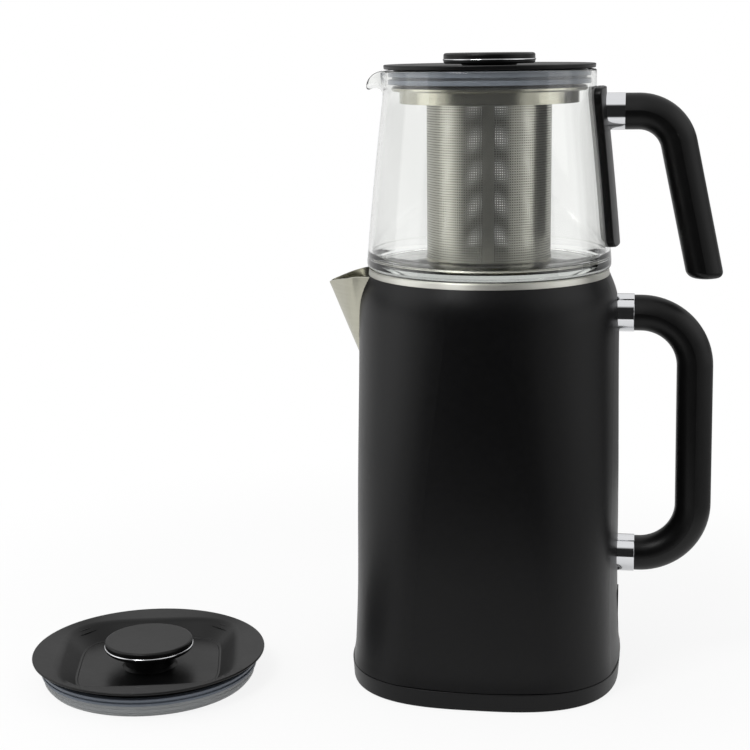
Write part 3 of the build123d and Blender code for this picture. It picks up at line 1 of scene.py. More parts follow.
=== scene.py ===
"""Looks of a double-deck tea maker: black kettle, glass teapot with infuser, two lids.

Blender's objects are in metres, +Z up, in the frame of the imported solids, and the sizes of pieces
are written in millimetres.  +X points to the two handles.
"""

import json
import logging
import math
from collections.abc import Callable
from dataclasses import dataclass
from enum import Enum
from typing import ClassVar

import bmesh
import bpy
from mathutils import Matrix, Vector


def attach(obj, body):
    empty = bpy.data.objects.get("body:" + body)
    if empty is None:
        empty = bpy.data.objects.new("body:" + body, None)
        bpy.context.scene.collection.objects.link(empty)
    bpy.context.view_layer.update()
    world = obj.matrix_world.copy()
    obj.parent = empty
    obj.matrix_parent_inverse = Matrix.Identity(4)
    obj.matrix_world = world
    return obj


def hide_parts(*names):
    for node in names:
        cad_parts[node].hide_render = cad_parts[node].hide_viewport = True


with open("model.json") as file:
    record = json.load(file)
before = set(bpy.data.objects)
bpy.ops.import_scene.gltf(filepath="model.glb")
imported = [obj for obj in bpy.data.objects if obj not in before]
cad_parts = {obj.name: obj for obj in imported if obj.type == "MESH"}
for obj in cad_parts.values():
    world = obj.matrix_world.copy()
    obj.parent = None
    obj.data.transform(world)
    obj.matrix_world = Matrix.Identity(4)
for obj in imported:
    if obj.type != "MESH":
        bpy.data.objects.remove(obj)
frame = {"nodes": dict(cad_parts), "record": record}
log = logging.getLogger("tea_maker")
MM = 0.001
WELD = 0.004 * MM
CIRCLE = 2.0
LOOSE_LID = (-187.5, -49.0)

Spot = tuple[float, float, float]
Flat = tuple[float, float]
Colour = tuple[float, float, float]
Source = bpy.types.NodeSocket | float


class Body(Enum):
    """Bodies that new pieces ride on."""

    BASE = "base"
    KETTLE = "kettle"
    KETTLE_LID = "kettle_lid"
    TEAPOT = "teapot"
    TEAPOT_LID = "teapot_lid"
    INFUSER = "infuser"


class Slot(Enum):
    """The record's material slots."""

    BLACK_SATIN = "black_satin"
    BLACK_MOULDING = "black_moulding"
    BRUSHED_NECK = "brushed_neck"
    STEEL_SHEET = "steel_sheet"
    PERFORATED_STEEL = "perforated_steel"
    BRIGHT_TRIM = "bright_trim"
    HEATER_METAL = "heater_metal"
    CONTACT_BRASS = "contact_brass"
    CLEAR_GLASS = "clear_glass"
    CLEAR_SKIRT = "clear_skirt"
    SEAL_GREY = "seal_grey"
    PAD_GREY = "pad_grey"
    FOOT_RUBBER = "foot_rubber"


class Side(Enum):
    """Halves of the sieve, by the sign of their X."""

    LEFT = -1
    RIGHT = 1


class Half(Enum):
    """Halves of a grip: towards the pot and away from it."""

    INNER = "inner"
    OUTER = "outer"


# ---------------------------------------------------------------- shader helpers
class Weave:
    """Adds and links nodes in one node tree, left to right."""

    def __init__(self, tree: bpy.types.NodeTree) -> None:
        """Start on a tree.

        Args:
            tree: The node tree that gets the nodes.
        """
        self.tree = tree
        self.column = 0

    def add(self, kind: str, **settings: object) -> bpy.types.Node:
        """Add a node and set its plain properties.

        Args:
            kind: The node's Blender type name.
            settings: Property names and their values.

        Returns:
            The new node.
        """
        node = self.tree.nodes.new(kind)
        node.location = (180 * self.column, 0)
        self.column += 1
        for name, value in settings.items():
            setattr(node, name, value)
        return node

    def link(self, start: bpy.types.NodeSocket, end: bpy.types.NodeSocket) -> None:
        """Link an output to an input."""
        self.tree.links.new(start, end)

    def feed(self, sockets: list[bpy.types.NodeSocket], values: tuple[Source, ...]) -> None:
        """Give each input a number or the output of another node.

        Args:
            sockets: The inputs.
            values: A number or an output for each of them.
        """
        for socket, value in zip(sockets, values):
            if isinstance(value, bpy.types.NodeSocket):
                self.link(value, socket)
            else:
                socket.default_value = value

    def math(
        self, operation: str, first: Source, second: Source = 0.0, third: Source = 0.0
    ) -> bpy.types.NodeSocket:
        """Add a Math node.

        Args:
            operation: The Math node's operation.
            first: A number or an output socket.
            second: A number or an output socket.
            third: A number or an output socket.

        Returns:
            The node's output.
        """
        node = self.add("ShaderNodeMath", operation=operation)
        self.feed(list(node.inputs), (first, second, third))
        return node.outputs[0]

    def mix(self, mask: bpy.types.NodeSocket, dark: Colour, light: Colour) -> bpy.types.NodeSocket:
        """Mix two colours by a mask.

        Args:
            mask: The output that holds the mask.
            dark: RGB where the mask is 0.
            light: RGB where the mask is 1.

        Returns:
            The mixed colour.
        """
        node = self.add("ShaderNodeMix", data_type="RGBA")
        self.link(mask, node.inputs["Factor"])
        node.inputs[6].default_value = (*dark, 1)
        node.inputs[7].default_value = (*light, 1)
        return node.outputs[2]

    def between(self, share: Source, first: Source, last: Source) -> bpy.types.NodeSocket:
        """Go from one value to another by a share.

        Args:
            share: The share, 0 to 1.
            first: Value or output for 0.
            last: Value or output for 1.

        Returns:
            The output with the result.
        """
        node = self.add("ShaderNodeMix", data_type="FLOAT")
        self.feed([node.inputs[0], node.inputs[2], node.inputs[3]], (share, first, last))
        return node.outputs[0]

    def spread(self, value: bpy.types.NodeSocket, low: float, high: float) -> bpy.types.NodeSocket:
        """Spread a 0 to 1 value over a range.

        Args:
            value: The output that holds the value.
            low: Result for 0.
            high: Result for 1.

        Returns:
            The output with the result.
        """
        node = self.add("ShaderNodeMapRange")
        self.link(value, node.inputs["Value"])
        node.inputs["To Min"].default_value = low
        node.inputs["To Max"].default_value = high
        return node.outputs["Result"]

    def step(self, value: bpy.types.NodeSocket, edge: float, blur: float) -> bpy.types.NodeSocket:
        """Go softly from 0 to 1 where a value passes an edge.

        Args:
            value: The output to compare.
            edge: Where the step is.
            blur: Half width of the step.

        Returns:
            The output with the step.
        """
        node = self.add("ShaderNodeMapRange", interpolation_type="SMOOTHSTEP")
        self.link(value, node.inputs["Value"])
        node.inputs["From Min"].default_value = edge - blur
        node.inputs["From Max"].default_value = edge + blur
        return node.outputs["Result"]

    def uneven(
        self, fine: bpy.types.NodeSocket, patches: bpy.types.NodeSocket, share: float
    ) -> bpy.types.NodeSocket:
        """Blend a fine mask with the patches of handling.

        Args:
            fine: The output with the fine mask.
            patches: The output with the patches.
            share: The fine mask's share.

        Returns:
            The output with the blend.
        """
        return self.math("MULTIPLY_ADD", fine, share, self.math("MULTIPLY", patches, 1 - share))

    def bumped(self, height: bpy.types.NodeSocket, strength: float) -> bpy.types.NodeSocket:
        """Turn a height into a bumped normal.

        Args:
            height: The output with the height.
            strength: How strongly it shows, 0 to 1.

        Returns:
            The normal.
        """
        bump = self.add("ShaderNodeBump")
        bump.inputs["Strength"].default_value = strength
        bump.inputs["Distance"].default_value = MM
        self.link(height, bump.inputs["Height"])
        return bump.outputs[0]


def new_group(
    name: str, inputs: dict[str, float], outputs: tuple[str, ...]
) -> tuple[Weave, bpy.types.Node, bpy.types.Node]:
    """Make an empty shader node group with float inputs and outputs.

    Args:
        name: The group's name.
        inputs: Input names and their default values.
        outputs: Output names.

    Returns:
        The weave on the group's tree, its input node and its output node.
    """
    group = bpy.data.node_groups.new(name, "ShaderNodeTree")
    for title, value in inputs.items():
        socket = group.interface.new_socket(title, in_out="INPUT", socket_type="NodeSocketFloat")
        socket.default_value = value
    for title in outputs:
        group.interface.new_socket(title, in_out="OUTPUT", socket_type="NodeSocketFloat")
    weave = Weave(group)
    return weave, weave.add("NodeGroupInput"), weave.add("NodeGroupOutput")


def blank_material(name: str) -> tuple[bpy.types.Material, Weave]:
    """Make a material with an empty node tree.

    Args:
        name: The material's name.

    Returns:
        The material and the weave on its tree.
    """
    material = bpy.data.materials.new(name)
    material.use_nodes = True
    material.node_tree.nodes.clear()
    return material, Weave(material.node_tree)


class Effects:
    """The shared surface effects, each a node group that is made once."""

    coarse_share: ClassVar[float] = 0.22

    def __init__(self) -> None:
        """Make the groups."""
        self.grain = self._grain()
        self.brushed = self._brushed()
        self.handling = self._handling()

    def _grain(self) -> bpy.types.NodeTree:
        """Fine moulding or paint grain.

        Returns:
            The group, with outputs Mask and Height.
        """
        weave, start, end = new_group(
            "fine_grain", {"Scale": 900.0, "Softness": 0.5}, ("Mask", "Height")
        )
        place = weave.add("ShaderNodeTexCoord")
        fine = weave.add("ShaderNodeTexNoise")
        fine.inputs["Detail"].default_value = 3.0
        coarse = weave.add("ShaderNodeTexNoise")
        coarse.inputs["Detail"].default_value = 1.0
        coarse_scale = weave.math("MULTIPLY", start.outputs["Scale"], self.coarse_share)
        weave.link(place.outputs["Object"], fine.inputs["Vector"])
        weave.link(place.outputs["Object"], coarse.inputs["Vector"])
        weave.link(start.outputs["Scale"], fine.inputs["Scale"])
        weave.link(coarse_scale, coarse.inputs["Scale"])
        weave.link(start.outputs["Softness"], fine.inputs["Roughness"])
        both = weave.math("ADD", fine.outputs["Fac"], coarse.outputs["Fac"])
        weave.link(coarse.outputs["Fac"], end.inputs["Mask"])
        weave.link(weave.math("MULTIPLY", both, 0.5), end.inputs["Height"])
        return weave.tree

    def _brushed(self) -> bpy.types.NodeTree:
        """Fine lines that run level around the piece, as on brushed or spun steel.

        Returns:
            The group, with outputs Mask and Height.
        """
        weave, start, end = new_group(
            "brushed_lines", {"Lines": 2600.0, "Length": 14.0}, ("Mask", "Height")
        )
        place = weave.add("ShaderNodeTexCoord")
        stretch = weave.add("ShaderNodeMapping", vector_type="POINT")
        joined = weave.add("ShaderNodeCombineXYZ")
        weave.link(start.outputs["Length"], joined.inputs[0])
        weave.link(start.outputs["Length"], joined.inputs[1])
        weave.link(start.outputs["Lines"], joined.inputs[2])
        weave.link(place.outputs["Object"], stretch.inputs["Vector"])
        weave.link(joined.outputs[0], stretch.inputs["Scale"])
        lines = weave.add("ShaderNodeTexNoise")
        lines.inputs["Scale"].default_value = 1.0
        lines.inputs["Detail"].default_value = 4.0
        weave.link(stretch.outputs[0], lines.inputs["Vector"])
        weave.link(lines.outputs["Fac"], end.inputs["Mask"])
        weave.link(lines.outputs["Fac"], end.inputs["Height"])
        return weave.tree

    def _handling(self) -> bpy.types.NodeTree:
        """Soft uneven patches where a surface was handled and wiped.

        Returns:
            The group, with output Mask.
        """
        weave, start, end = new_group("handling", {"Scale": 14.0, "Amount": 1.0}, ("Mask",))
        place = weave.add("ShaderNodeTexCoord")
        patch = weave.add("ShaderNodeTexNoise")
        patch.inputs["Detail"].default_value = 5.0
        patch.inputs["Distortion"].default_value = 0.6
        weave.link(place.outputs["Object"], patch.inputs["Vector"])
        weave.link(start.outputs["Scale"], patch.inputs["Scale"])
        sharper = weave.add("ShaderNodeMapRange")
        weave.link(patch.outputs["Fac"], sharper.inputs["Value"])
        sharper.inputs["From Min"].default_value = 0.35
        sharper.inputs["From Max"].default_value = 0.7
        amount = weave.math("MULTIPLY", sharper.outputs["Result"], start.outputs["Amount"])
        weave.link(amount, end.inputs["Mask"])
        return weave.tree


# ---------------------------------------------------------------- finishes
@dataclass(frozen=True)
class Finish:
    """What every finish has: its slot, a Principled shader and the end of its tree."""

    slot: Slot

    def start(self) -> tuple[bpy.types.Material, Weave, bpy.types.Node, bpy.types.Node]:
        """Make the finish's material with a Principled shader on its output.

        Returns:
            The material, the weave on its tree, the Principled node and the output node.
        """
        material, weave = blank_material(self.slot.value)
        shader = weave.add("ShaderNodeBsdfPrincipled")
        end = weave.add("ShaderNodeOutputMaterial")
        weave.link(shader.outputs[0], end.inputs["Surface"])
        return material, weave, shader, end


@dataclass(frozen=True)
class Moulding(Finish):
    """Plastic, rubber or paint with a fine grain and uneven gloss."""

    dark: Colour
    light: Colour
    gloss_low: float
    gloss_high: float
    grain: float
    bump: float
    specular: float = 0.5
    grain_share: float = 0.5

    def build(self, effects: Effects) -> bpy.types.Material:
        """Make the material.

        Args:
            effects: The shared node groups.

        Returns:
            The material.
        """
        material, weave, shader, _ = self.start()
        grain = weave.add("ShaderNodeGroup", node_tree=effects.grain)
        grain.inputs["Scale"].default_value = self.grain
        handled = weave.add("ShaderNodeGroup", node_tree=effects.handling)
        colour = weave.mix(grain.outputs["Mask"], self.dark, self.light)
        weave.link(colour, shader.inputs["Base Color"])
        uneven = weave.uneven(grain.outputs["Mask"], handled.outputs["Mask"], self.grain_share)
        gloss = weave.spread(uneven, self.gloss_low, self.gloss_high)
        weave.link(gloss, shader.inputs["Roughness"])
        weave.link(weave.bumped(grain.outputs["Height"], self.bump), shader.inputs["Normal"])
        shader.inputs["Specular IOR Level"].default_value = self.specular
        return material


@dataclass(frozen=True)
class Metal(Finish):
    """Steel, chrome or brass, with level brush lines."""

    dark: Colour
    light: Colour
    gloss_low: float
    gloss_high: float
    lines: float
    bump: float
    length: float = 14.0
    line_share: float = 0.7
    stretch: float = 0.0
    stretch_turn: float = 0.0
    # Share of the colour kept on faces towards the axis: painted shade inside the tube, 1 for none.
    painted_inner_shade: float = 1.0

    def build(self, effects: Effects) -> bpy.types.Material:
        """Make the material.

        Args:
            effects: The shared node groups.

        Returns:
            The material.
        """
        material, weave, shader, _ = self.start()
        brushed = weave.add("ShaderNodeGroup", node_tree=effects.brushed)
        brushed.inputs["Lines"].default_value = self.lines
        brushed.inputs["Length"].default_value = self.length
        handled = weave.add("ShaderNodeGroup", node_tree=effects.handling)
        colour = weave.mix(brushed.outputs["Mask"], self.dark, self.light)
        # Painted shade: faces towards the axis get a darker colour.
        if self.painted_inner_shade < 1.0:
            colour = self._paint_inner_shade(weave, colour)
        weave.link(colour, shader.inputs["Base Color"])
        uneven = weave.uneven(brushed.outputs["Mask"], handled.outputs["Mask"], self.line_share)
        gloss = weave.spread(uneven, self.gloss_low, self.gloss_high)
        weave.link(gloss, shader.inputs["Roughness"])
        weave.link(weave.bumped(brushed.outputs["Height"], self.bump), shader.inputs["Normal"])
        shader.inputs["Metallic"].default_value = 1.0
        shader.inputs["Anisotropic"].default_value = self.stretch
        shader.inputs["Anisotropic Rotation"].default_value = self.stretch_turn
        return material

    def _paint_inner_shade(
        self, weave: Weave, colour: bpy.types.NodeSocket
    ) -> bpy.types.NodeSocket:
        """Paint shade on the faces that look towards the upright axis, the inside of the tube.

        Args:
            weave: The material's weave.
            colour: The colour before the painted shade.

        Returns:
            The colour, with painted shade inside.
        """
        place = weave.add("ShaderNodeTexCoord")
        spoke = weave.add("ShaderNodeVectorMath", operation="MULTIPLY")
        spoke.inputs[1].default_value = (1, 1, 0)
        weave.link(place.outputs["Object"], spoke.inputs[0])
        facing = weave.add("ShaderNodeVectorMath", operation="DOT_PRODUCT")
        weave.link(spoke.outputs[0], facing.inputs[0])
        weave.link(place.outputs["Normal"], facing.inputs[1])
        inside = weave.math("LESS_THAN", facing.outputs["Value"], 0.0)
        painted_shade = weave.add("ShaderNodeMix", data_type="RGBA", blend_type="MULTIPLY")
        weave.link(inside, painted_shade.inputs["Factor"])
        weave.link(colour, painted_shade.inputs[6])
        painted_shade.inputs[7].default_value = (*[self.painted_inner_shade] * 3, 1)
        return painted_shade.outputs[2]


@dataclass(frozen=True)
class Clear(Finish):
    """Glass or clear plastic that lets the lamps through."""

    tint: Colour
    gloss: float
    ior: float
    bump: float
    body_tint: Colour
    density: float
    clearness: float = 1.0
    ripple: float = 9.0
    gloss_rise: float = 1.6

    def build(self, effects: Effects) -> bpy.types.Material:
        """Make the material.

        Args:
            effects: The shared node groups.

        Returns:
            The material.
        """
        material, weave, shader, end = self.start()
        wavy = weave.add("ShaderNodeGroup", node_tree=effects.handling)
        wavy.inputs["Scale"].default_value = self.ripple
        shader.inputs["Base Color"].default_value = (*self.tint, 1)
        shader.inputs["Transmission Weight"].default_value = self.clearness
        shader.inputs["IOR"].default_value = self.ior
        gloss = weave.spread(wavy.outputs["Mask"], self.gloss, self.gloss * self.gloss_rise)
        weave.link(gloss, shader.inputs["Roughness"])
        weave.link(weave.bumped(wavy.outputs["Mask"], self.bump), shader.inputs["Normal"])
        path = weave.add("ShaderNodeLightPath")
        open_way = weave.add("ShaderNodeBsdfTransparent")
        open_way.inputs["Color"].default_value = (*self.tint, 1)
        both = weave.add("ShaderNodeMixShader")
        weave.link(path.outputs["Is Shadow Ray"], both.inputs["Fac"])
        weave.link(shader.outputs[0], both.inputs[1])
        weave.link(open_way.outputs[0], both.inputs[2])
        weave.link(both.outputs[0], end.inputs["Surface"])
        depth = weave.add("ShaderNodeVolumeAbsorption")
        depth.inputs["Color"].default_value = (*self.body_tint, 1)
        depth.inputs["Density"].default_value = self.density
        weave.link(depth.outputs[0], end.inputs["Volume"])
        return material


FINISHES = (
    Moulding(
        Slot.BLACK_SATIN, (0.0022, 0.0022, 0.0025), (0.0036, 0.0036, 0.0040), 0.33, 0.42,
        grain=1500.0, bump=0.02, specular=0.22,
    ),
    Moulding(
        Slot.BLACK_MOULDING, (0.0020, 0.0020, 0.0021), (0.0034, 0.0034, 0.0035), 0.32, 0.42,
        grain=1100.0, bump=0.04, specular=0.24,
    ),
    Moulding(
        Slot.SEAL_GREY, (0.095, 0.113, 0.142), (0.125, 0.143, 0.172), 0.35, 0.5,
        grain=1600.0, bump=0.03,
    ),
    Moulding(
        Slot.PAD_GREY, (0.13, 0.13, 0.128), (0.18, 0.18, 0.178), 0.45, 0.6,
        grain=1400.0, bump=0.03,
    ),
    Moulding(
        Slot.FOOT_RUBBER, (0.012, 0.012, 0.012), (0.02, 0.02, 0.02), 0.7, 0.85,
        grain=1300.0, bump=0.1,
    ),
    Metal(
        Slot.BRUSHED_NECK, (0.66, 0.655, 0.60), (0.80, 0.795, 0.74), 0.46, 0.56,
        lines=3200.0, bump=0.06, stretch=0.85, stretch_turn=0.25,
    ),
    Metal(
        Slot.STEEL_SHEET, (0.43, 0.42, 0.345), (0.54, 0.53, 0.445), 0.16, 0.24,
        lines=1500.0, bump=0.012,
    ),
    Metal(
        Slot.PERFORATED_STEEL, (0.42, 0.415, 0.36), (0.50, 0.495, 0.44), 0.276, 0.282,
        # Painted shade darkens the inside of the sieve's tube.
        lines=1500.0, bump=0.002, stretch=0.35, stretch_turn=0.25, painted_inner_shade=0.06,
    ),
    Metal(
        Slot.BRIGHT_TRIM, (0.68, 0.69, 0.71), (0.78, 0.785, 0.80), 0.05, 0.10,
        lines=1200.0, bump=0.006,
    ),
    Metal(
        Slot.HEATER_METAL, (0.36, 0.36, 0.36), (0.46, 0.46, 0.46), 0.4, 0.55,
        lines=700.0, bump=0.1,
    ),
    Metal(
        Slot.CONTACT_BRASS, (0.62, 0.46, 0.2), (0.75, 0.58, 0.28), 0.2, 0.32,
        lines=1800.0, bump=0.03,
    ),
    Clear(
        Slot.CLEAR_GLASS, (0.99, 0.995, 0.985), gloss=0.0, ior=1.45, bump=0.004,
        body_tint=(0.55, 0.58, 0.55), density=9.0,
    ),
    Clear(
        Slot.CLEAR_SKIRT, (0.30, 0.31, 0.315), gloss=0.30, ior=1.42, bump=0.02,
        body_tint=(0.5, 0.52, 0.55), density=60.0, clearness=0.45,
    ),
)


class Wardrobe:
    """All finished materials, by the record's slots."""

    def __init__(self) -> None:
        """Make the node groups and one material for each finish."""
        effects = Effects()
        self.materials = {finish.slot: finish.build(effects) for finish in FINISHES}

    def dress(self, piece: bpy.types.Object, slot: Slot) -> None:
        """Give a piece one material all over.

        Args:
            piece: The object to dress.
            slot: The record's material slot.
        """
        if not piece.material_slots:
            piece.data.materials.append(None)
        for place in piece.material_slots:
            place.material = self.materials[slot]

    def dress_frame(self) -> None:
        """Dress every node of the frame by the record's slots."""
        for entry in frame["record"]["subparts"]:
            self.dress(frame["nodes"][entry["node"]], Slot(entry["material_slot"]))


# ---------------------------------------------------------------- modelling
def softened(corners: list[Spot], steps: int = 6) -> list[Flat]:
    """Round the corners of an open outline.

    Args:
        corners: Each corner's two coordinates and the radius of its rounding.
        steps: Points on each rounding, less one.

    Returns:
        The outline's points.
    """
    points = [corners[0][:2]]
    for before, corner, after in zip(corners, corners[1:], corners[2:]):
        middle = Vector(corner[:2])
        if corner[2] <= 0:
            points.append(corner[:2])
            continue
        arriving = (Vector(before[:2]) - middle).normalized()
        leaving = (Vector(after[:2]) - middle).normalized()
        half = arriving.angle(leaving) / 2
        centre = middle + (arriving + leaving).normalized() * corner[2] / math.sin(half)
        first = middle + arriving * corner[2] / math.tan(half) - centre
        last = middle + leaving * corner[2] / math.tan(half) - centre
        sweep = first.angle_signed(last)
        for step in range(steps + 1):
            turn = -sweep * step / steps
            points.append((
                centre.x + first.x * math.cos(turn) - first.y * math.sin(turn),
                centre.y + first.x * math.sin(turn) + first.y * math.cos(turn),
            ))
    points.append(corners[-1][:2])
    return points


def soft_square(half: float, power: float, angle: float) -> float:
    """Radius of a soft square.

    Args:
        half: Its half width.
        power: CIRCLE for a circle, more for a squarer outline.
        angle: Angle from the side's middle.

    Returns:
        The radius.
    """
    side, rise = abs(math.cos(angle)), abs(math.sin(angle))
    return half / (side ** power + rise ** power) ** (1 / power)


def eased(share: float) -> float:
    """Smooth step from 0 to 1."""
    share = min(max(share, 0.0), 1.0)
    return share * share * (3 - 2 * share)


def around(centre: Flat, radius: float, angle: float, height: float) -> Spot:
    """Point at a radius, angle and height about an upright axis.

    Args:
        centre: Where the axis stands.
        radius: Distance from the axis.
        angle: Angle about the axis, from +X.
        height: Height over the table.

    Returns:
        The point.
    """
    return centre[0] + radius * math.cos(angle), centre[1] + radius * math.sin(angle), height


class Bench:
    """Models pieces with Blender's own tools; sizes come in millimetres."""

    def clear(self) -> None:
        """Leave edit mode and drop every selection."""
        if bpy.context.mode != "OBJECT":
            bpy.ops.object.mode_set(mode="OBJECT")
        bpy.ops.object.select_all(action="DESELECT")

    def pick(self, piece: bpy.types.Object) -> None:
        """Select one piece alone and make it active.

        Args:
            piece: The piece.
        """
        self.clear()
        piece.select_set(True)
        bpy.context.view_layer.objects.active = piece

    def named(self, name: str) -> bpy.types.Object:
        """Name the object that was just added, and its mesh.

        Args:
            name: The name.

        Returns:
            The object.
        """
        piece = bpy.context.object
        piece.name = piece.data.name = name
        return piece

    def drawn(
        self, name: str, count: int, levels: int, place: Callable[[int, float], Spot]
    ) -> bpy.types.Object:
        """Draw a circle out level by level, set each ring in its place and close what meets.

        Args:
            name: The piece's name.
            count: Points around.
            levels: Number of rings.
            place: Gives a point in millimetres for a ring's number and an angle.

        Returns:
            The new piece.
        """
        self.clear()
        bpy.ops.mesh.primitive_circle_add(
            vertices=count, radius=1.0, fill_type="NOTHING", location=(0, 0, 0)
        )
        piece = self.named(name)
        bpy.ops.object.mode_set(mode="EDIT")
        bpy.ops.mesh.select_mode(type="VERT")
        bpy.ops.mesh.select_all(action="SELECT")
        for _ in range(levels - 1):
            bpy.ops.mesh.extrude_region_move(TRANSFORM_OT_translate={"value": (0, 0, 1)})

        def spot(start: Vector) -> Spot:
            """Read a point's ring and angle from where it was drawn."""
            spoke = round(math.atan2(start.y, start.x) * count / math.tau)
            return place(round(start.z), spoke * math.tau / count)

        self._set_down(piece, spot)
        return piece

    def turned(self, name: str, outline: list[Flat], count: int, centre: Flat) -> bpy.types.Object:
        """Turn an outline around an upright axis.

        Args:
            name: The piece's name.
            outline: Radius and height of each point.
            count: Points around.
            centre: Where the axis stands.

        Returns:
            The new piece.
        """
        def place(level: int, angle: float) -> Spot:
            """Point of the turned surface."""
            radius, height = outline[level]
            return around(centre, radius, angle, height)

        return self.drawn(name, count, len(outline), place)

    def sheet(
        self, name: str, across: int, along: int, place: Callable[[float, float], Spot]
    ) -> bpy.types.Object:
        """Draw a grid over a curved surface.

        Args:
            name: The piece's name.
            across: Cells across.
            along: Cells along.
            place: Gives a point in millimetres for two shares from -1 to 1.

        Returns:
            The new open sheet.
        """
        self.clear()
        bpy.ops.mesh.primitive_grid_add(
            x_subdivisions=across, y_subdivisions=along, size=2.0, location=(0, 0, 0)
        )
        piece = self.named(name)
        bpy.ops.object.mode_set(mode="EDIT")
        self._set_down(piece, lambda start: place(start.x, start.y))
        return piece

    def _set_down(self, piece: bpy.types.Object, spot: Callable[[Vector], Spot]) -> None:
        """Set each point in its place, close what meets and turn the faces outwards.

        Args:
            piece: The piece, in edit mode.
            spot: Gives a point in millimetres for where it was drawn.
        """
        mesh = bmesh.from_edit_mesh(piece.data)
        for vertex in mesh.verts:
            vertex.co = Vector(spot(vertex.co)) * MM
        bmesh.update_edit_mesh(piece.data)
        bpy.ops.mesh.select_all(action="SELECT")
        bpy.ops.mesh.remove_doubles(threshold=WELD)
        bpy.ops.mesh.normals_make_consistent(inside=False)
        bpy.ops.object.mode_set(mode="OBJECT")

    def apply(self, piece: bpy.types.Object, kind: str, **settings: object) -> None:
        """Give a piece a modifier and apply it.

        Args:
            piece: The piece.
            kind: The modifier's type.
            settings: Its properties.
        """
        self.pick(piece)
        bpy.ops.object.modifier_add(type=kind)
        modifier = piece.modifiers[-1]
        for name, value in settings.items():
            setattr(modifier, name, value)
        bpy.ops.object.modifier_apply(modifier=modifier.name)

    def shade(self, piece: bpy.types.Object, degrees: float) -> None:
        """Shade a piece smoothly, apart from edges sharper than an angle."""
        self.pick(piece)
        bpy.ops.object.shade_smooth_by_angle(angle=math.radians(degrees))

    def smooth(self, piece: bpy.types.Object, degrees: float) -> None:
        """Shade a piece as shade() does, and let its large faces lead."""
        self.shade(piece, degrees)
        self.apply(piece, "WEIGHTED_NORMAL", keep_sharp=True)


# ---------------------------------------------------------------- pieces
@dataclass
class Maker:
    """What every sub-assembly needs: the bench, the finishes and a way to hand pieces in."""

    smooth_angle: ClassVar[float] = 40.0
    bench: Bench
    wardrobe: Wardrobe

    def hand_in(self, piece: bpy.types.Object, body: Body, slot: Slot, *nodes: str) -> None:
        """Dress a finished piece and let it ride in place of CAD nodes.

        Args:
            piece: The finished piece.
            body: The body that it rides on.
            slot: The record's material slot.
            nodes: The nodes that it stands for.
        """
        self.wardrobe.dress(piece, slot)
        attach(piece, body.value)
        if nodes:
            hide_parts(*nodes)
        log.info("%s: %d faces", piece.name, len(piece.data.polygons))


@dataclass
class Sieve(Maker):
    """Perforated tube of the infuser, in two halves."""

    smooth_angle: ClassVar[float] = 30.0
    radius: float = 33.72
    low: float = 233.2
    high: float = 319.0
    wall: float = 0.3
    columns: int = 156
    rows: int = 64
    hole_share: float = 0.45
    plain_strip: float = math.radians(-84.9)
    plain_half_width: float = 2.45
    plain_rows: int = 1

    def build(self) -> None:
        """Punch the tube and hand in its halves."""
        tube = self._tube()
        self._punch(tube)
        for side in Side:
            self._part(tube, side)
        bpy.data.objects.remove(tube)

    def _tube(self) -> bpy.types.Object:
        """Make the plain tube, divided into cells.

        Returns:
            The tube, in edit mode.
        """
        self.bench.clear()
        bpy.ops.mesh.primitive_cylinder_add(
            vertices=self.columns,
            radius=self.radius * MM,
            depth=(self.high - self.low) * MM,
            end_fill_type="NOTHING",
            location=(0, 0, (self.high + self.low) / 2 * MM),
        )
        tube = bpy.context.object
        bpy.ops.object.transform_apply(location=True, rotation=True, scale=True)
        bpy.ops.object.mode_set(mode="EDIT")
        bpy.ops.mesh.select_all(action="DESELECT")
        mesh = bmesh.from_edit_mesh(tube.data)
        for edge in mesh.edges:
            first, last = edge.verts
            edge.select_set(abs(first.co.z - last.co.z) > MM)
        bmesh.update_edit_mesh(tube.data)
        bpy.ops.mesh.subdivide(number_cuts=self.rows - 1)
        return tube

    def _is_plain(self, centre: Vector) -> bool:
        """Tell whether a cell stays without a hole.

        Args:
            centre: The middle of the cell.

        Returns:
            True for the strip at the seam and for the last rows.
        """
        height = (self.high - self.low) / self.rows * MM
        row = (centre.z - self.low * MM) / height
        aside = math.atan2(centre.y, centre.x) - self.plain_strip
        aside = (aside + math.pi) % math.tau - math.pi
        edge = row > self.rows - self.plain_rows
        return edge or abs(aside) * self.radius < self.plain_half_width

    def _punch(self, tube: bpy.types.Object) -> None:
        """Punch a square hole into each cell.

        Args:
            tube: The tube, in edit mode.
        """
        cell = math.tau * self.radius / self.columns * MM
        mesh = bmesh.from_edit_mesh(tube.data)
        bpy.ops.mesh.select_mode(type="FACE")
        bpy.ops.mesh.select_all(action="DESELECT")
        for face in mesh.faces:
            face.select_set(not self._is_plain(face.calc_center_median()))
        bmesh.update_edit_mesh(tube.data)
        bpy.ops.mesh.inset(thickness=cell * (1 - self.hole_share) / 2, use_individual=True)
        bpy.ops.mesh.delete(type="FACE")
        bpy.ops.object.mode_set(mode="OBJECT")

    def _part(self, tube: bpy.types.Object, side: Side) -> None:
        """Part one half from a copy of the tube, give it its wall and hand it in.

        Args:
            tube: The punched tube.
            side: The half to keep.
        """
        self.bench.pick(tube)
        bpy.ops.object.duplicate()
        half = self.bench.named(f"sieve_{side.name.lower()}")
        bpy.ops.object.mode_set(mode="EDIT")
        bpy.ops.mesh.select_all(action="DESELECT")
        mesh = bmesh.from_edit_mesh(half.data)
        for face in mesh.faces:
            face.select_set(face.calc_center_median().x * side.value < 0)
        bmesh.update_edit_mesh(half.data)
        bpy.ops.mesh.delete(type="FACE")
        bpy.ops.object.mode_set(mode="OBJECT")
        self.bench.apply(half, "SOLIDIFY", thickness=self.wall * MM, offset=-1.0)
        self.bench.shade(half, self.smooth_angle)
        self.hand_in(half, Body.INFUSER, Slot.PERFORATED_STEEL, "infuser_sieve")


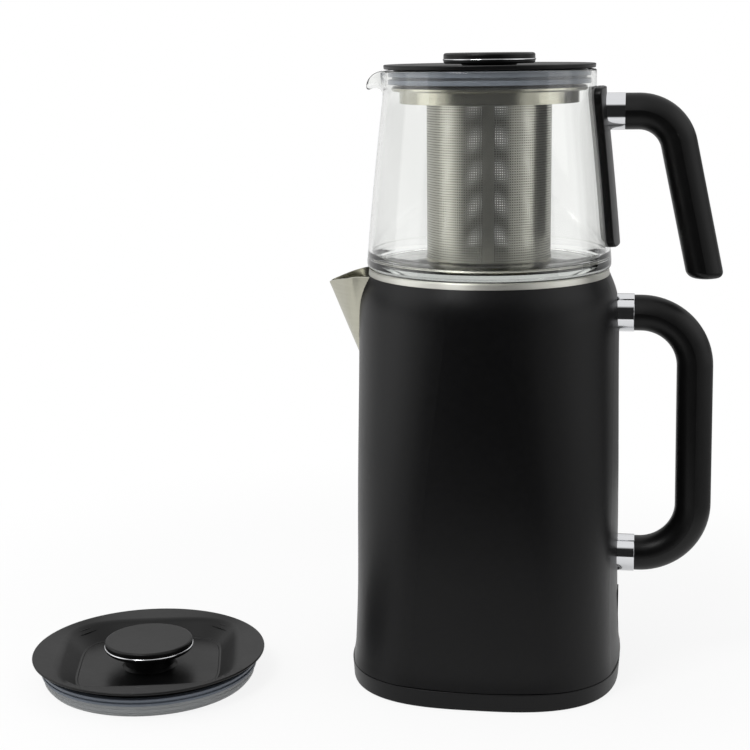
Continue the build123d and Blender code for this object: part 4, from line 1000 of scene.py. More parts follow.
@dataclass
class PotGlass(Maker):
    """Glass of the teapot, with its pouring lip."""

    smooth_angle: ClassVar[float] = 50.0
    count: int = 168
    crowding: float = 0.6
    wall: float = 2.2
    floor: float = 3.4
    foot: float = 229.3
    foot_radius: float = 66.71
    foot_round: float = 2.4
    side_low: float = 234.0
    side_middle: float = 275.4
    middle_radius: float = 62.72
    side_high: float = 316.8
    high_radius: float = 58.01
    neck: float = 327.5
    mouth_radius: float = 57.31
    top: float = 335.8
    foot_ring_outer: float = 60.0
    foot_ring_inner: float = 57.6
    foot_ring_drop: float = 0.35
    lip_turn: float = math.radians(112.0)
    lip_half_angle: float = math.radians(8.6)
    lip_low: float = 320.0
    lip_fade: float = 0.01
    lip_steps: int = 14
    rim_round: float = 1.0
    rim_steps: int = 8
    side_steps: int = 40
    inner_start: float = 6.0
    inner_round: float = 6.4
    inner_steps: int = 10

    def radius(self, height: float) -> float:
        """Outer radius of the glass.

        Args:
            height: Height over the table.

        Returns:
            The radius at that height.
        """
        span = self.side_middle - self.side_low
        first = (self.middle_radius - self.foot_radius) / span
        bend = ((self.high_radius - self.middle_radius) / span - first) / span
        if height <= self.side_high:
            rise = height - self.side_low
            return self.foot_radius + first * rise + bend / 2 * rise * (rise - span)
        if height >= self.neck:
            return self.mouth_radius
        slope = first + bend * 1.5 * span
        length = self.neck - self.side_high
        share = (height - self.side_high) / length
        fall = self.mouth_radius - self.high_radius
        curve = slope * length * share * (1 - share) ** 2
        return self.high_radius + fall * eased(share) + curve

    def rolled(self, radius: float, height: float, bump: float) -> Flat:
        """Roll a point of the upright wall over into the lip.

        Args:
            radius: The point's radius on the upright wall.
            height: Its height.
            bump: 1 in the middle of the lip, 0 away from it.

        Returns:
            The point's radius and height on the lip.
        """
        rim = self.top - self.rim_round
        length = min(height, rim) - self.lip_low
        if length <= 0 or bump < self.lip_fade:
            return radius, height
        full = rim - self.lip_low
        aside = radius - (self.radius(min(height, rim)) - self.wall / 2)
        over = max(height - rim, 0.0)
        out, up, turn = 0.0, 0.0, 0.0
        for step in range(self.lip_steps):
            share = length * (step + 0.5) / self.lip_steps / full
            turn = self.lip_turn * bump * eased(share)
            out += math.sin(turn) * length / self.lip_steps
            up += math.cos(turn) * length / self.lip_steps
        middle = self.radius(self.lip_low + up) - self.wall / 2
        return (
            middle + out + aside * math.cos(turn) + over * math.sin(turn),
            self.lip_low + up - aside * math.sin(turn) + over * math.cos(turn),
        )

    def outline(self) -> list[Flat]:
        """Closed outline of the wall and floor, from the middle of the underside out and back.

        Returns:
            Radius and height of each point.
        """
        ring = self.foot - self.foot_ring_drop
        points = softened([
            (0.0, self.foot, 0), (self.foot_ring_inner - 1.4, self.foot, 0.8),
            (self.foot_ring_inner, ring, 0.5), (self.foot_ring_outer, ring, 0.5),
            (self.foot_ring_outer + 1.0, self.foot, 0.6),
            (self.foot_radius, self.foot, self.foot_round), (self.foot_radius, self.side_low, 0),
        ])
        rim = self.top - self.rim_round
        rise = rim - self.side_low
        steps = range(1, self.side_steps + 1)
        outer = [self.side_low + rise * step / self.side_steps for step in steps]
        points += [(self.radius(height), height) for height in outer]
        edge = self.wall / 2
        middle = self.mouth_radius - edge
        for step in range(1, self.rim_steps):
            turn = math.pi * step / self.rim_steps
            points.append(
                (middle + edge * math.cos(turn), rim + self.rim_round * math.sin(turn))
            )
        inner_low = self.foot + self.floor
        inner = [height for height in reversed(outer) if height > inner_low + self.inner_start]
        points += [(self.radius(height) - self.wall, height) for height in inner]
        corner = self.foot_radius - self.wall + 0.2
        points += softened(
            [points[-1] + (0,), (corner, inner_low, self.inner_round), (0.0, inner_low, 0)],
            steps=self.inner_steps,
        )[1:]
        return points

    def build(self) -> None:
        """Draw the glass with its lip and hand it in."""
        outline = self.outline()

        def place(level: int, angle: float) -> Spot:
            """Find a point of the glass, rolled over into the lip on the -X side.

            Args:
                level: The point's number on the outline.
                angle: Its even share of the circle; points crowd together at the lip.

            Returns:
                The point.
            """
            turn = angle + self.crowding * math.sin(angle)
            aside = turn % math.tau - math.pi
            bump = math.exp(-((aside / self.lip_half_angle) ** 2))
            radius, height = self.rolled(*outline[level], bump)
            return around((0.0, 0.0), radius, turn, height)

        glass = self.bench.drawn("pot_glass", self.count, len(outline), place)
        self.bench.smooth(glass, self.smooth_angle)
        self.hand_in(glass, Body.TEAPOT, Slot.CLEAR_GLASS, "teapot_glass")


@dataclass
class LidCover(Maker):
    """Black lid moulding, dished smoothly into a soft-square finger well."""

    name: str
    body: Body
    node: str
    brim_radius: float
    plug_radius: float
    well_half: float
    top: float
    low: float
    plug_low: float
    centre: Flat = (0.0, 0.0)
    turn: float = 0.0
    count: int = 144
    brim: float = 2.7
    brim_edge: float = 1.3
    brim_lean: float = 0.35
    brim_skin: float = 1.4
    edge_round: float = 0.7
    well_depth: float = 9.6
    well_power: float = 4.4
    floor_round: float = 0.8
    bead: float = 0.45
    bead_inset: float = 1.4
    slope: float = 7.0
    dish: float = 1.3
    roll: float = 6.5
    plug_flare: float = 2.2
    gap: float = 0.5
    square_share: float = 0.6
    flat_brim: float = 2.0
    wall: float = 2.0

    def _outline(self, clear: float) -> list[Flat]:
        """Half width and height of each ring, from the middle of the well out and back under.

        Args:
            clear: Half width of the hollow side of the well's wall.

        Returns:
            The rings.
        """
        floor = self.top - self.well_depth
        foot = self.well_half - self.bead_inset
        under = self.well_half + self.wall
        brim_low = self.top - self.brim
        plug_inner = self.plug_radius - self.wall
        rings = [(self.well_half * share, floor) for share in (0.0, 0.3, 0.6, 0.85)]
        rings += softened([
            (self.well_half * 0.95, floor, 0),
            (foot, floor, 0.2),
            (foot + self.bead, floor + self.bead, 0.2),
            (self.well_half, floor + self.bead, self.floor_round),
            (self.well_half + self.slope, self.top - self.dish, self.roll),
            (self.brim_radius, self.top, self.edge_round),
            (self.brim_radius - self.brim_lean, self.top - self.brim_edge, 0.4),
            (self.plug_radius + self.plug_flare, brim_low, 1.0),
            (self.plug_radius, brim_low, 0.3),
            (self.plug_radius, self.plug_low, 0.4),
            (plug_inner, self.plug_low, 0.3),
            (plug_inner, brim_low - self.brim_skin, 0.5),
            (clear, brim_low - self.brim_skin, 0.5),
            (under, self.low, 0.3),
            (under * 0.5, self.low, 0),
        ], steps=7)
        return rings + [(0.0, self.low)]

    def _rings(self) -> list[Spot]:
        """Half width, power and height of each ring: soft squares in the well, circles outside.

        Returns:
            The rings.
        """
        clear = self.well_half + self.slope + self.gap
        outline = self._outline(clear)
        brim = max(range(len(outline)), key=lambda ring: outline[ring][0])
        round_from = self.well_half + self.slope * self.square_share
        round_to = self.brim_radius - self.flat_brim
        rings = []
        for ring, (half, height) in enumerate(outline):
            share = eased((half - round_from) / (round_to - round_from))
            if ring > brim:
                share = 0.0 if half < clear + self.gap else 1.0
            rings.append((half, self.well_power + (CIRCLE - self.well_power) * share, height))
        return rings

    def build(self) -> None:
        """Draw the cover and hand it in."""
        rings = self._rings()

        def place(level: int, angle: float) -> Spot:
            """Point of the cover."""
            half, power, height = rings[level]
            return around(
                self.centre, soft_square(half, power, angle), angle + self.turn, height
            )

        cover = self.bench.drawn(self.name, self.count, len(rings), place)
        self.bench.smooth(cover, self.smooth_angle)
        self.hand_in(cover, self.body, Slot.BLACK_MOULDING, self.node)


@dataclass
class KnobRing(Maker):
    """Bright half-round ring between a knob's base and its cap."""

    name: str
    body: Body
    node: str
    low: float
    centre: Flat = (0.0, 0.0)
    thickness: float = 1.0
    inner: float = 21.6
    outer: float = 24.5
    swell: float = 0.55
    count: int = 120

    def build(self) -> None:
        """Turn the ring and hand it in."""
        half = self.thickness / 2
        middle = self.low + half
        outline = [(self.inner, self.low)]
        for turn in map(math.radians, range(-90, 91, 15)):
            outline.append(
                (self.outer + self.swell * math.cos(turn), middle + half * math.sin(turn))
            )
        outline += [(self.inner, self.low + self.thickness), (self.inner, self.low)]
        ring = self.bench.turned(self.name, outline, self.count, self.centre)
        self.bench.smooth(ring, self.smooth_angle)
        self.hand_in(ring, self.body, Slot.BRIGHT_TRIM, self.node)


@dataclass
class LidSeal(Maker):
    """Silicone seal around a lid's plug, a row of soft lips."""

    name: str
    body: Body
    node: str
    inner: float
    outer: float
    low: float
    pitch: float
    lips: int = 2
    centre: Flat = (0.0, 0.0)
    groove: float = 1.1
    lip_share: float = 0.62
    count: int = 144

    def build(self) -> None:
        """Turn the seal and hand it in."""
        corners = [(self.inner, self.low, 0)]
        bottom = self.outer - self.groove
        for lip in range(self.lips):
            start = self.low + lip * self.pitch
            end = start + self.pitch * self.lip_share
            corners += [(self.outer, start, 0.35), (self.outer, end, 0.35)]
            if lip < self.lips - 1:
                corners += [(bottom, end, 0.2), (bottom, start + self.pitch, 0.2)]
        corners += [(self.inner, end, 0), (self.inner, self.low, 0)]
        outline = softened(corners, steps=4)
        seal = self.bench.turned(self.name, outline, self.count, self.centre)
        self.bench.smooth(seal, self.smooth_angle)
        self.hand_in(seal, self.body, Slot.SEAL_GREY, self.node)


@dataclass
class Skirt(Maker):
    """Milky clear ring under the loose lid, drawn in towards its foot, with two fine grooves."""

    inner: float = 55.0
    outer: float = 59.2
    foot: float = 56.6
    top: float = 7.0
    low_step: float = 0.7
    middle_step: float = 0.3
    groove: float = 0.35
    groove_width: float = 0.3
    lower_groove: float = 2.3
    upper_groove: float = 4.6
    count: int = 168

    def build(self) -> None:
        """Turn the ring and hand it in."""
        lower, upper, width = self.lower_groove, self.upper_groove, self.groove_width
        outline = softened([
            (self.inner, 0.4, 0),
            (self.inner, 0.0, 0.2),
            (self.foot, 0.0, 0.8),
            (self.outer - self.low_step, lower, 0.3),
            (self.outer - self.low_step - self.groove, lower + width, 0.1),
            (self.outer - self.middle_step, lower + 2 * width, 0.2),
            (self.outer, upper, 0.3),
            (self.outer - self.groove, upper + width, 0.1),
            (self.outer, upper + 2 * width, 0.2),
            (self.outer, self.top, 0.3),
            (self.inner, self.top, 0.2),
            (self.inner, 0.4, 0),
        ], steps=4)
        ring = self.bench.turned("loose_lid_skirt", outline, self.count, LOOSE_LID)
        self.bench.smooth(ring, self.smooth_angle)
        self.hand_in(ring, Body.KETTLE_LID, Slot.CLEAR_SKIRT, "kettle_lid_skirt")


@dataclass
class NeckBand(Maker):
    """Brushed steel band on which the pot stands."""

    inner: float = 61.05
    outer: float = 66.0
    low: float = 225.9
    top: float = 229.2
    lean: float = 0.4
    crown: float = 0.8
    count: int = 192

    def build(self) -> None:
        """Turn the band and hand it in."""
        outline = softened([
            (self.inner, self.low, 0),
            (self.outer, self.low, 0.2),
            (self.outer - self.lean, self.top, self.crown),
            (self.inner, self.top, 0.3),
            (self.inner, self.low, 0),
        ], steps=8)
        band = self.bench.turned("neck_band", outline, self.count, (0.0, 0.0))
        self.bench.smooth(band, self.smooth_angle)
        self.hand_in(band, Body.KETTLE, Slot.BRUSHED_NECK, "neck_ring")


@dataclass
class BaseBand(Maker):
    """Soft-square skirt around the power base, up to the fine seam under the kettle."""

    power: float = 2.85
    half_low: float = 74.9
    half_top: float = 75.6
    inner: float = 72.2
    low: float = 0.3
    top: float = 10.4
    edge_round: float = 0.8
    inner_lip: float = 2.0
    count: int = 192

    def build(self) -> None:
        """Draw the skirt and hand it in."""
        rings = softened([
            (self.inner, self.low + self.inner_lip, 0),
            (self.inner, self.low, 0.3),
            (self.half_low, self.low, self.edge_round),
            (self.half_top, self.top, 0.5),
            (self.inner, self.top, 0.2),
            (self.inner, self.low + self.inner_lip, 0),
        ], steps=6)

        def place(level: int, angle: float) -> Spot:
            """Point of the skirt."""
            half, height = rings[level]
            return around((0.0, 0.0), soft_square(half, self.power, angle), angle, height)

        band = self.bench.drawn("base_band", self.count, len(rings), place)
        self.bench.smooth(band, self.smooth_angle)
        self.hand_in(band, Body.BASE, Slot.BLACK_SATIN)


@dataclass
class Spout(Maker):
    """Steel beak of the kettle, a folded sheet that runs out to a narrow tip."""

    inside: float = -60.0
    root: float = -70.4
    tip: float = -88.0
    root_half: float = 19.8
    tip_half: float = 2.4
    root_top: float = 225.6
    tip_top: float = 220.8
    root_low: float = 177.6
    hole_low: float = 181.4
    tip_low: float = 219.4
    sink: float = 2.4
    ease: float = 0.45
    top_bow: float = 1.3
    fold: float = 0.09
    bow: float = 1.6
    wall: float = 0.9
    cells: tuple[int, int] = (40, 48)

    def _section(self, half: float, top: float, low: float, share: float) -> Flat:
        """Point of the section across the beak.

        Args:
            half: Half width at the open top.
            top: Height of the top edges.
            low: Height of the keel.
            share: -1 at one top edge, 0 at the keel, 1 at the other top edge.

        Returns:
            Place across and height.
        """
        spread = math.hypot(share, self.fold) - self.fold
        spread /= math.hypot(1.0, self.fold) - self.fold
        return half * share, low + (top - low) * spread ** self.bow

    def _place(self, across: float, along: float) -> Spot:
        """Point of the beak.

        Args:
            across: From one top edge over the keel to the other, -1 to 1.
            along: From inside the body out to the tip, -1 to 1.

        Returns:
            The point.
        """
        x = self.inside + (self.tip - self.inside) * (along + 1) / 2
        out = max((x - self.root) / (self.tip - self.root), 0.0)
        sunk = min(max((x - self.root) / self.sink, 0.0), 1.0)
        taper = out * out / (2 * self.ease) if out < self.ease else out - self.ease / 2
        half = self.root_half + (self.tip_half - self.root_half) * taper / (1 - self.ease / 2)
        top = self.root_top + (self.tip_top - self.root_top) * out ** self.top_bow
        low = self.root_low + (self.tip_low - self.root_low) * out
        low += (self.hole_low - self.root_low) * sunk
        return x, *self._section(half, top, low, across)

    def build(self) -> None:
        """Draw the beak with its duct, give it its thickness and hand it in."""
        beak = self.bench.sheet("kettle_beak", *self.cells, self._place)
        self.bench.apply(beak, "SOLIDIFY", thickness=self.wall * MM, offset=-1.0)
        self.bench.smooth(beak, self.smooth_angle)
        self.hand_in(beak, Body.KETTLE, Slot.STEEL_SHEET, "spout")


@dataclass
class HandlePlate(Maker):
    """Curved plate with round corners between the pot's glass and its handle."""

    name: str
    node: str
    slot: Slot
    glass: PotGlass
    inner: float
    thickness: float
    low: float = 242.2
    high: float = 326.4
    mean_radius: float = 61.0
    half_angle: float = math.radians(17.0)
    corner: float = 5.0
    edge: float = 0.7
    cells: tuple[int, int] = (36, 72)

    def _rounded(self, across: float, up: float, half_width: float, half_height: float) -> Flat:
        """Move a point of a rectangle so that its corners become round.

        Args:
            across: Place across from the middle.
            up: Place up from the middle.
            half_width: Half width of the rectangle.
            half_height: Half height of the rectangle.

        Returns:
            The moved place.
        """
        past_side = abs(across) - (half_width - self.corner)
        past_end = abs(up) - (half_height - self.corner)
        if past_side <= 0 or past_end <= 0:
            return across, up
        shrink = max(past_side, past_end) / math.hypot(past_side, past_end)
        return (
            math.copysign(half_width - self.corner + past_side * shrink, across),
            math.copysign(half_height - self.corner + past_end * shrink, up),
        )

    def _place(self, across: float, along: float) -> Spot:
        """Point of the plate's inner face.

        Args:
            across: From one side to the other, -1 to 1.
            along: From the lower end to the upper, -1 to 1.

        Returns:
            The point.
        """
        half_height = (self.high - self.low) / 2
        half_width = self.mean_radius * self.half_angle
        aside, up = self._rounded(
            across * half_width, along * half_height, half_width, half_height
        )
        height = (self.high + self.low) / 2 + up
        turn = aside / half_width * self.half_angle
        return around((0.0, 0.0), self.glass.radius(height) + self.inner, turn, height)

    def build(self) -> None:
        """Draw the plate, give it its thickness and hand it in."""
        plate = self.bench.sheet(self.name, *self.cells, self._place)
        self.bench.apply(plate, "SOLIDIFY", thickness=self.thickness * MM, offset=1.0)
        self.bench.apply(
            plate, "BEVEL",
            width=self.edge * MM, segments=3, limit_method="ANGLE", angle_limit=1.0,
        )
        self.bench.smooth(plate, self.smooth_angle)
        self.hand_in(plate, Body.TEAPOT, self.slot, self.node)


@dataclass(frozen=True)
class Station:
    """A place along a grip's line, with the way the section faces and its size."""

    spot: Vector
    way: Vector
    size: float


@dataclass
class Grip(Maker):
    """Tube handle in two halves, swept along the handle's line, with a fine seam down its side."""

    smooth_angle: ClassVar[float] = 35.0
    name: str
    body: Body
    nodes: dict[Half, str]
    line: tuple[Spot, ...]
    radius: float = 9.8
    seam: float = 0.8
    seam_gap: float = 0.02
    seam_points: int = 8
    crease: float = math.radians(58.0)
    bend_steps: int = 24
    start_round: float = 0.35
    start_steps: int = 4
    end_round: float = 0.35
    end_steps: int = 8
    end_dome: float = 0.0
    dome_share: float = 0.75
    dome_size: float = 0.3
    level_end: bool = False
    count: int = 56

    def _stations(self) -> list[Station]:
        """Places along the line.

        Returns:
            The stations, closed at both ends.
        """
        points = [Vector(point) for point in softened(list(self.line), self.bend_steps)]
        runs = [(after - before).normalized() for before, after in zip(points, points[1:])]
        ways = [(one + two).normalized() for one, two in zip(runs, runs[1:])]
        first, last = points[0], points[-1]
        start_way, last_way = runs[0], runs[-1]
        end_way = last_way
        if self.level_end:
            end_way = Vector((0.0, math.copysign(1.0, last_way.y)))
        lean = 1 / abs(end_way.dot(last_way))
        stations = [Station(first, start_way, 0.0)]
        for step in range(self.start_steps + 1):
            turn = math.pi / 2 * step / self.start_steps
            rise = self.start_round * (1 - math.cos(turn))
            inset = self.start_round * (1 - math.sin(turn))
            stations.append(Station(first + start_way * rise, start_way, 1 - inset / self.radius))
        stations += [Station(point, way, 1.0) for point, way in zip(points[1:-1], ways)]
        for step in range(self.end_steps + 1):
            turn = math.pi / 2 * step / self.end_steps
            back = self.end_round * (1 - math.sin(turn))
            inset = self.end_round * (1 - math.cos(turn))
            stations.append(Station(last - last_way * back, end_way, lean - inset / self.radius))
        dome = end_way * self.end_dome
        stations.append(Station(last + dome * self.dome_share, end_way, self.dome_size))
        stations.append(Station(last + dome, end_way, 0.0))
        return stations

    def _section(self, half: Half) -> list[Flat]:
        """Section of one half: place outwards from the line and place across.

        Args:
            half: The half.

        Returns:
            The section's points: its bow, and then the flat face at the seam.
        """
        last = self.count - self.seam_points - 1
        if half is Half.OUTER:
            base = self.seam + self.seam_gap / 2
            reach = self.radius - base
            low = math.cos(self.crease)
            turns = [self.crease * (2 * step / last - 1) for step in range(last + 1)]
            points = [(
                base + reach * (math.cos(turn) - low) / (1 - low),
                self.radius * math.sin(turn) / math.sin(self.crease),
            ) for turn in turns]
        else:
            base = self.seam - self.seam_gap / 2
            edge = math.acos(base / self.radius)
            turns = [edge + (math.tau - 2 * edge) * step / last for step in range(last + 1)]
            points = [
                (self.radius * math.cos(turn), self.radius * math.sin(turn)) for turn in turns
            ]
        start, end = points[-1][1], points[0][1]
        for step in range(1, self.seam_points + 1):
            points.append((base, start + (end - start) * step / (self.seam_points + 1)))
        return points

    def _sweep(self, half: Half, stations: list[Station]) -> None:
        """Sweep one half and hand it in.

        Args:
            half: The half.
            stations: The places along the line.
        """
        section = self._section(half)

        def place(level: int, angle: float) -> Spot:
            """Find a point of the half.

            Args:
                level: The station's number.
                angle: The point's share of the section, as an angle.

            Returns:
                The point.
            """
            station = stations[level]
            away, across = section[round(angle * self.count / math.tau) % self.count]
            x = station.spot.x - station.way.y * away * station.size
            z = station.spot.y + station.way.x * away * station.size
            return x, across * station.size, z

        name = f"{self.name}_{half.value}"
        tube = self.bench.drawn(name, self.count, len(stations), place)
        self.bench.smooth(tube, self.smooth_angle)
        self.hand_in(tube, self.body, Slot.BLACK_MOULDING, self.nodes[half])

    def build(self) -> None:
        """Sweep both halves."""
        stations = self._stations()
        for half in Half:
            self._sweep(half, stations)


# ---------------------------------------------------------------- studio
@dataclass(frozen=True)
class Lamp:
    """A soft rectangular lamp that points at the object."""

    name: str
    place: Spot
    width: float
    height: float
    power: float
    aim: Spot = (0.0, 0.0, 0.17)

    def build(self) -> None:
        """Place the lamp."""
        data = bpy.data.lights.new(self.name, "AREA")
        data.shape = "RECTANGLE"
        data.size = self.width
        data.size_y = self.height
        data.energy = self.power
        lamp = bpy.data.objects.new(self.name, data)
        bpy.context.scene.collection.objects.link(lamp)
        lamp.location = self.place
        aim = Vector(self.aim) - lamp.location
        lamp.rotation_euler = aim.to_track_quat("-Z", "Y").to_euler()


@dataclass(frozen=True)
class Edge:
    """A soft edge between two parts of the surroundings, in degrees."""

    place: float
    blur: float

    def step(self, weave: Weave, angle: bpy.types.NodeSocket) -> bpy.types.NodeSocket:
        """Go softly from 0 to 1 where an angle in radians passes the edge."""
        return weave.step(angle, math.radians(self.place), math.radians(self.blur))


@dataclass
class Studio:
    """Pale floor, soft light and the camera."""

    floor_reach: float = 0.40
    floor_centre: Spot = (-0.06, 0.06, 0.0)
    floor_white: float = 0.9
    shadow_start: float = 0.17
    shadow_end: float = 0.408
    near_glow: float = 0.86
    mirrored_glow: float = 0.5
    lamps: tuple[Lamp, ...] = (
        Lamp("lamp_left", (-1.15, -0.25, 0.55), 0.7, 1.3, 2.4),
        Lamp("lamp_right", (1.15, -0.10, 0.60), 0.7, 1.3, 2.0),
        Lamp("lamp_top", (-0.44, -0.66, 1.05), 0.4, 0.4, 5.0),
    )
    camera_place: Spot = (0.0781, -0.8740, 0.35245)
    camera_yaw: float = -0.1613
    camera_pitch: float = 0.2066
    camera_roll: float = -0.0121
    lens: float = 76.96
    sensor: float = 36.0
    front: float = -92.0
    front_edge: Edge = Edge(46.0, 7.0)
    ceiling_edge: Edge = Edge(42.0, 7.0)
    middle_edge: Edge = Edge(14.0, 3.0)
    room_edge: Edge = Edge(3.0, 2.5)
    panel_edge: Edge = Edge(9.0, 4.0)
    table_edge: Edge = Edge(36.0, 5.0)
    side_blur: float = 0.12
    front_level: float = 0.02
    ceiling_level: float = 0.95
    middle_level: float = 0.9
    room_level: float = 0.15
    panel_levels: Flat = (0.88, 0.70)
    table_levels: Flat = (0.85, 0.32)
    near_table_level: float = 0.9
    through_levels: Flat = (0.8, 0.88)
    soft_level: float = 0.65
    clear_hits: float = 3.5
    mirror_hits: float = 0.5

    def build(self) -> None:
        """Make the floor, the lamps, the world and the camera."""
        self._floor()
        for lamp in self.lamps:
            lamp.build()
        self._world()
        self._camera()
        bpy.context.scene.view_settings.view_transform = "Standard"

    def _floor(self) -> None:
        """Lay the pale floor, which keeps the object's faint shadow."""
        bpy.ops.object.select_all(action="DESELECT")
        bpy.ops.mesh.primitive_circle_add(
            vertices=96, radius=self.floor_reach, fill_type="NGON", location=self.floor_centre
        )
        floor = bpy.context.object
        floor.name = "floor"
        material, weave = blank_material("pale_floor")
        matt = weave.add("ShaderNodeBsdfDiffuse")
        matt.inputs["Color"].default_value = (*[self.floor_white] * 3, 1)
        glow = weave.add("ShaderNodeEmission")
        glow.inputs["Strength"].default_value = 1.0
        place = weave.add("ShaderNodeTexCoord")
        away = weave.add("ShaderNodeVectorMath", operation="LENGTH")
        weave.link(place.outputs["Object"], away.inputs[0])
        fade = weave.add("ShaderNodeMapRange", interpolation_type="SMOOTHSTEP")
        weave.link(away.outputs["Value"], fade.inputs["Value"])
        fade.inputs["From Min"].default_value = self.shadow_start
        fade.inputs["From Max"].default_value = self.shadow_end
        fade.inputs["To Min"].default_value = self.near_glow
        fade.inputs["To Max"].default_value = 1.0
        path = weave.add("ShaderNodeLightPath")
        share = weave.math("MULTIPLY", path.outputs["Is Camera Ray"], fade.outputs["Result"])
        seen = weave.math("ADD", path.outputs["Is Glossy Ray"], path.outputs["Is Transmission Ray"])
        mirrored = weave.math("MULTIPLY", seen, self.mirrored_glow)
        share = weave.math("MAXIMUM", share, mirrored)
        both = weave.add("ShaderNodeMixShader")
        weave.link(share, both.inputs["Fac"])
        weave.link(matt.outputs[0], both.inputs[1])
        weave.link(glow.outputs[0], both.inputs[2])
        end = weave.add("ShaderNodeOutputMaterial")
        weave.link(both.outputs[0], end.inputs["Surface"])
        floor.data.materials.append(material)

    def _mirrored(
        self, weave: Weave, off_front: bpy.types.NodeSocket, direction: bpy.types.Node
    ) -> bpy.types.NodeSocket:
        """Brightness of the surroundings as shiny pieces mirror them.

        Args:
            weave: The world's weave.
            off_front: 0 towards the dark front, 1 elsewhere.
            direction: Node whose outputs are the way's X, Y and Z.

        Returns:
            The output with the brightness.
        """
        rise = weave.math("ARCSINE", direction.outputs[2])
        fall = weave.math("MULTIPLY", rise, -1.0)
        right = weave.step(direction.outputs[0], 0.0, self.side_blur)
        level = weave.between(
            self.panel_edge.step(weave, fall),
            weave.between(right, *self.panel_levels),
            weave.between(right, *self.table_levels),
        )
        level = weave.between(self.room_edge.step(weave, rise), level, self.room_level)
        level = weave.between(self.middle_edge.step(weave, rise), level, self.middle_level)
        level = weave.between(off_front, self.front_level, level)
        level = weave.between(self.ceiling_edge.step(weave, rise), level, self.ceiling_level)
        return weave.between(self.table_edge.step(weave, fall), level, self.near_table_level)

    def _world(self) -> None:
        """White background, soft light all round, and a dark front that shiny pieces mirror."""
        world = bpy.data.worlds.new("studio")
        bpy.context.scene.world = world
        world.use_nodes = True
        world.node_tree.nodes.clear()
        weave = Weave(world.node_tree)
        place = weave.add("ShaderNodeTexCoord")
        direction = weave.add("ShaderNodeSeparateXYZ")
        weave.link(place.outputs["Generated"], direction.inputs[0])
        around_z = weave.math("ARCTAN2", direction.outputs[1], direction.outputs[0])
        aside = weave.math("SUBTRACT", around_z, math.radians(self.front))
        off_front = self.front_edge.step(weave, weave.math("ABSOLUTE", aside))
        mirrored = self._mirrored(weave, off_front, direction)
        through = weave.between(off_front, *self.through_levels)
        path = weave.add("ShaderNodeLightPath")
        glossy, clear = path.outputs["Is Glossy Ray"], path.outputs["Is Transmission Ray"]
        few = weave.math("LESS_THAN", path.outputs["Transmission Depth"], self.clear_hits)
        straight = weave.math("LESS_THAN", path.outputs["Glossy Depth"], self.mirror_hits)
        clear_way = weave.math("MULTIPLY", clear, weave.math("MAXIMUM", few, straight))
        shown = weave.add("ShaderNodeBackground")
        weave.link(weave.between(clear_way, mirrored, through), shown.inputs["Strength"])
        soft = weave.add("ShaderNodeBackground")
        soft.inputs["Strength"].default_value = self.soft_level
        white = weave.add("ShaderNodeBackground")
        white.inputs["Strength"].default_value = 1.0
        for background in (white, soft, shown):
            background.inputs["Color"].default_value = (1, 1, 1, 1)
        first = weave.add("ShaderNodeMixShader")
        weave.link(weave.math("MAXIMUM", glossy, clear), first.inputs["Fac"])
        weave.link(soft.outputs[0], first.inputs[1])
        weave.link(shown.outputs[0], first.inputs[2])
        second = weave.add("ShaderNodeMixShader")
        weave.link(path.outputs["Is Camera Ray"], second.inputs["Fac"])
        weave.link(first.outputs[0], second.inputs[1])
        weave.link(white.outputs[0], second.inputs[2])
        end = weave.add("ShaderNodeOutputWorld")
        weave.link(second.outputs[0], end.inputs["Surface"])

    def _camera(self) -> None:
        """Set the camera."""
        data = bpy.data.cameras.new("camera")
        data.lens = self.lens
        data.sensor_width = self.sensor
        data.clip_start = 0.05
        data.clip_end = 20.0
        camera = bpy.data.objects.new("camera", data)
        bpy.context.scene.collection.objects.link(camera)
        sin_yaw, cos_yaw = math.sin(self.camera_yaw), math.cos(self.camera_yaw)
        sin_pitch, cos_pitch = math.sin(self.camera_pitch), math.cos(self.camera_pitch)
        sin_roll, cos_roll = math.sin(self.camera_roll), math.cos(self.camera_roll)
        forward = Vector((sin_yaw * cos_pitch, cos_yaw * cos_pitch, -sin_pitch))
        level = Vector((cos_yaw, -sin_yaw, 0))
        upward = level.cross(forward)
        right = level * cos_roll + upward * sin_roll
        up = upward * cos_roll - level * sin_roll
        turn = Matrix((right, up, -forward)).transposed().to_4x4()
        camera.matrix_world = Matrix.Translation(self.camera_place) @ turn
        bpy.context.scene.camera = camera


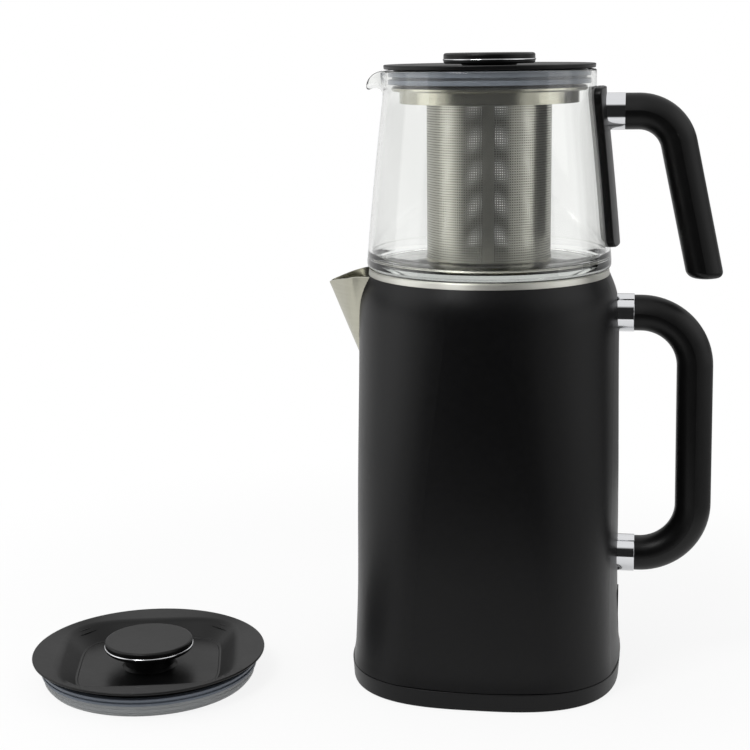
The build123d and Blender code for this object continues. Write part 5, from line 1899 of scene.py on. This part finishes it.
def pieces(bench: Bench, wardrobe: Wardrobe) -> list[Maker]:
    """List the new pieces with their sizes.

    Args:
        bench: Where they are modelled.
        wardrobe: The finished materials.

    Returns:
        The pieces' makers, in the order in which they are built.
    """
    glass = PotGlass(bench, wardrobe)
    return [
        Sieve(bench, wardrobe),
        glass,
        HandlePlate(
            bench, wardrobe, "pot_pad", "strap_pad", Slot.PAD_GREY, glass,
            inner=0.05, thickness=1.1,
        ),
        HandlePlate(
            bench, wardrobe, "pot_strap", "teapot_strap", Slot.BLACK_MOULDING, glass,
            inner=1.17, thickness=4.13,
        ),
        Grip(
            bench, wardrobe, "pot_tube", Body.TEAPOT,
            {Half.INNER: "teapot_grip_inner", Half.OUTER: "teapot_grip_outer"},
            ((72.64, 313.3, 0.0), (97.5, 313.3, 22.0), (117.1, 224.3, 0.0)),
            radius=9.7, end_round=4.2, end_dome=0.5, level_end=True,
        ),
        Grip(
            bench, wardrobe, "kettle_tube", Body.KETTLE,
            {Half.INNER: "kettle_grip_inner", Half.OUTER: "kettle_grip_outer"},
            ((79.6, 204.8, 0.0), (112.5, 204.8, 29.5), (114.2, 68.1, 29.5), (82.3, 68.1, 0.0)),
        ),
        NeckBand(bench, wardrobe),
        BaseBand(bench, wardrobe),
        Spout(bench, wardrobe),
        LidCover(
            bench, wardrobe, "pot_lid_cover", Body.TEAPOT_LID, "teapot_lid_cover",
            brim_radius=57.01, plug_radius=51.51, well_half=32.2,
            top=338.8, low=328.2, plug_low=328.2, brim_edge=2.35,
        ),
        LidCover(
            bench, wardrobe, "loose_lid_cover", Body.KETTLE_LID, "kettle_lid_cover",
            brim_radius=65.31, plug_radius=57.0, well_half=40.0,
            top=16.6, low=6.0, plug_low=7.1, slope=9.5, roll=8.5,
            centre=LOOSE_LID, turn=math.radians(13.0),
        ),
        KnobRing(
            bench, wardrobe, "pot_knob_ring", Body.TEAPOT_LID, "teapot_knob_ring", low=340.6,
        ),
        KnobRing(
            bench, wardrobe, "loose_knob_ring", Body.KETTLE_LID, "kettle_knob_ring", low=18.4,
            centre=LOOSE_LID,
        ),
        LidSeal(
            bench, wardrobe, "pot_lid_seal", Body.TEAPOT_LID, "teapot_lid_seal",
            inner=51.6, outer=54.5, low=328.5, pitch=4.0, groove=2.3,
        ),
        LidSeal(
            bench, wardrobe, "loose_lid_seal", Body.KETTLE_LID, "kettle_lid_seal",
            inner=57.4, outer=60.4, low=7.1, pitch=2.4, centre=LOOSE_LID,
        ),
        Skirt(bench, wardrobe),
    ]


def main() -> None:
    """Build and dress the tea maker, piece by piece."""
    logging.basicConfig(level=logging.INFO, format="%(message)s")
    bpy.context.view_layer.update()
    wardrobe = Wardrobe()
    wardrobe.dress_frame()
    log.info("frame dressed: %d nodes", len(frame["nodes"]))
    for piece in pieces(Bench(), wardrobe):
        piece.build()
    Studio().build()
    log.info("studio ready")


if __name__ == "__main__":
    main()
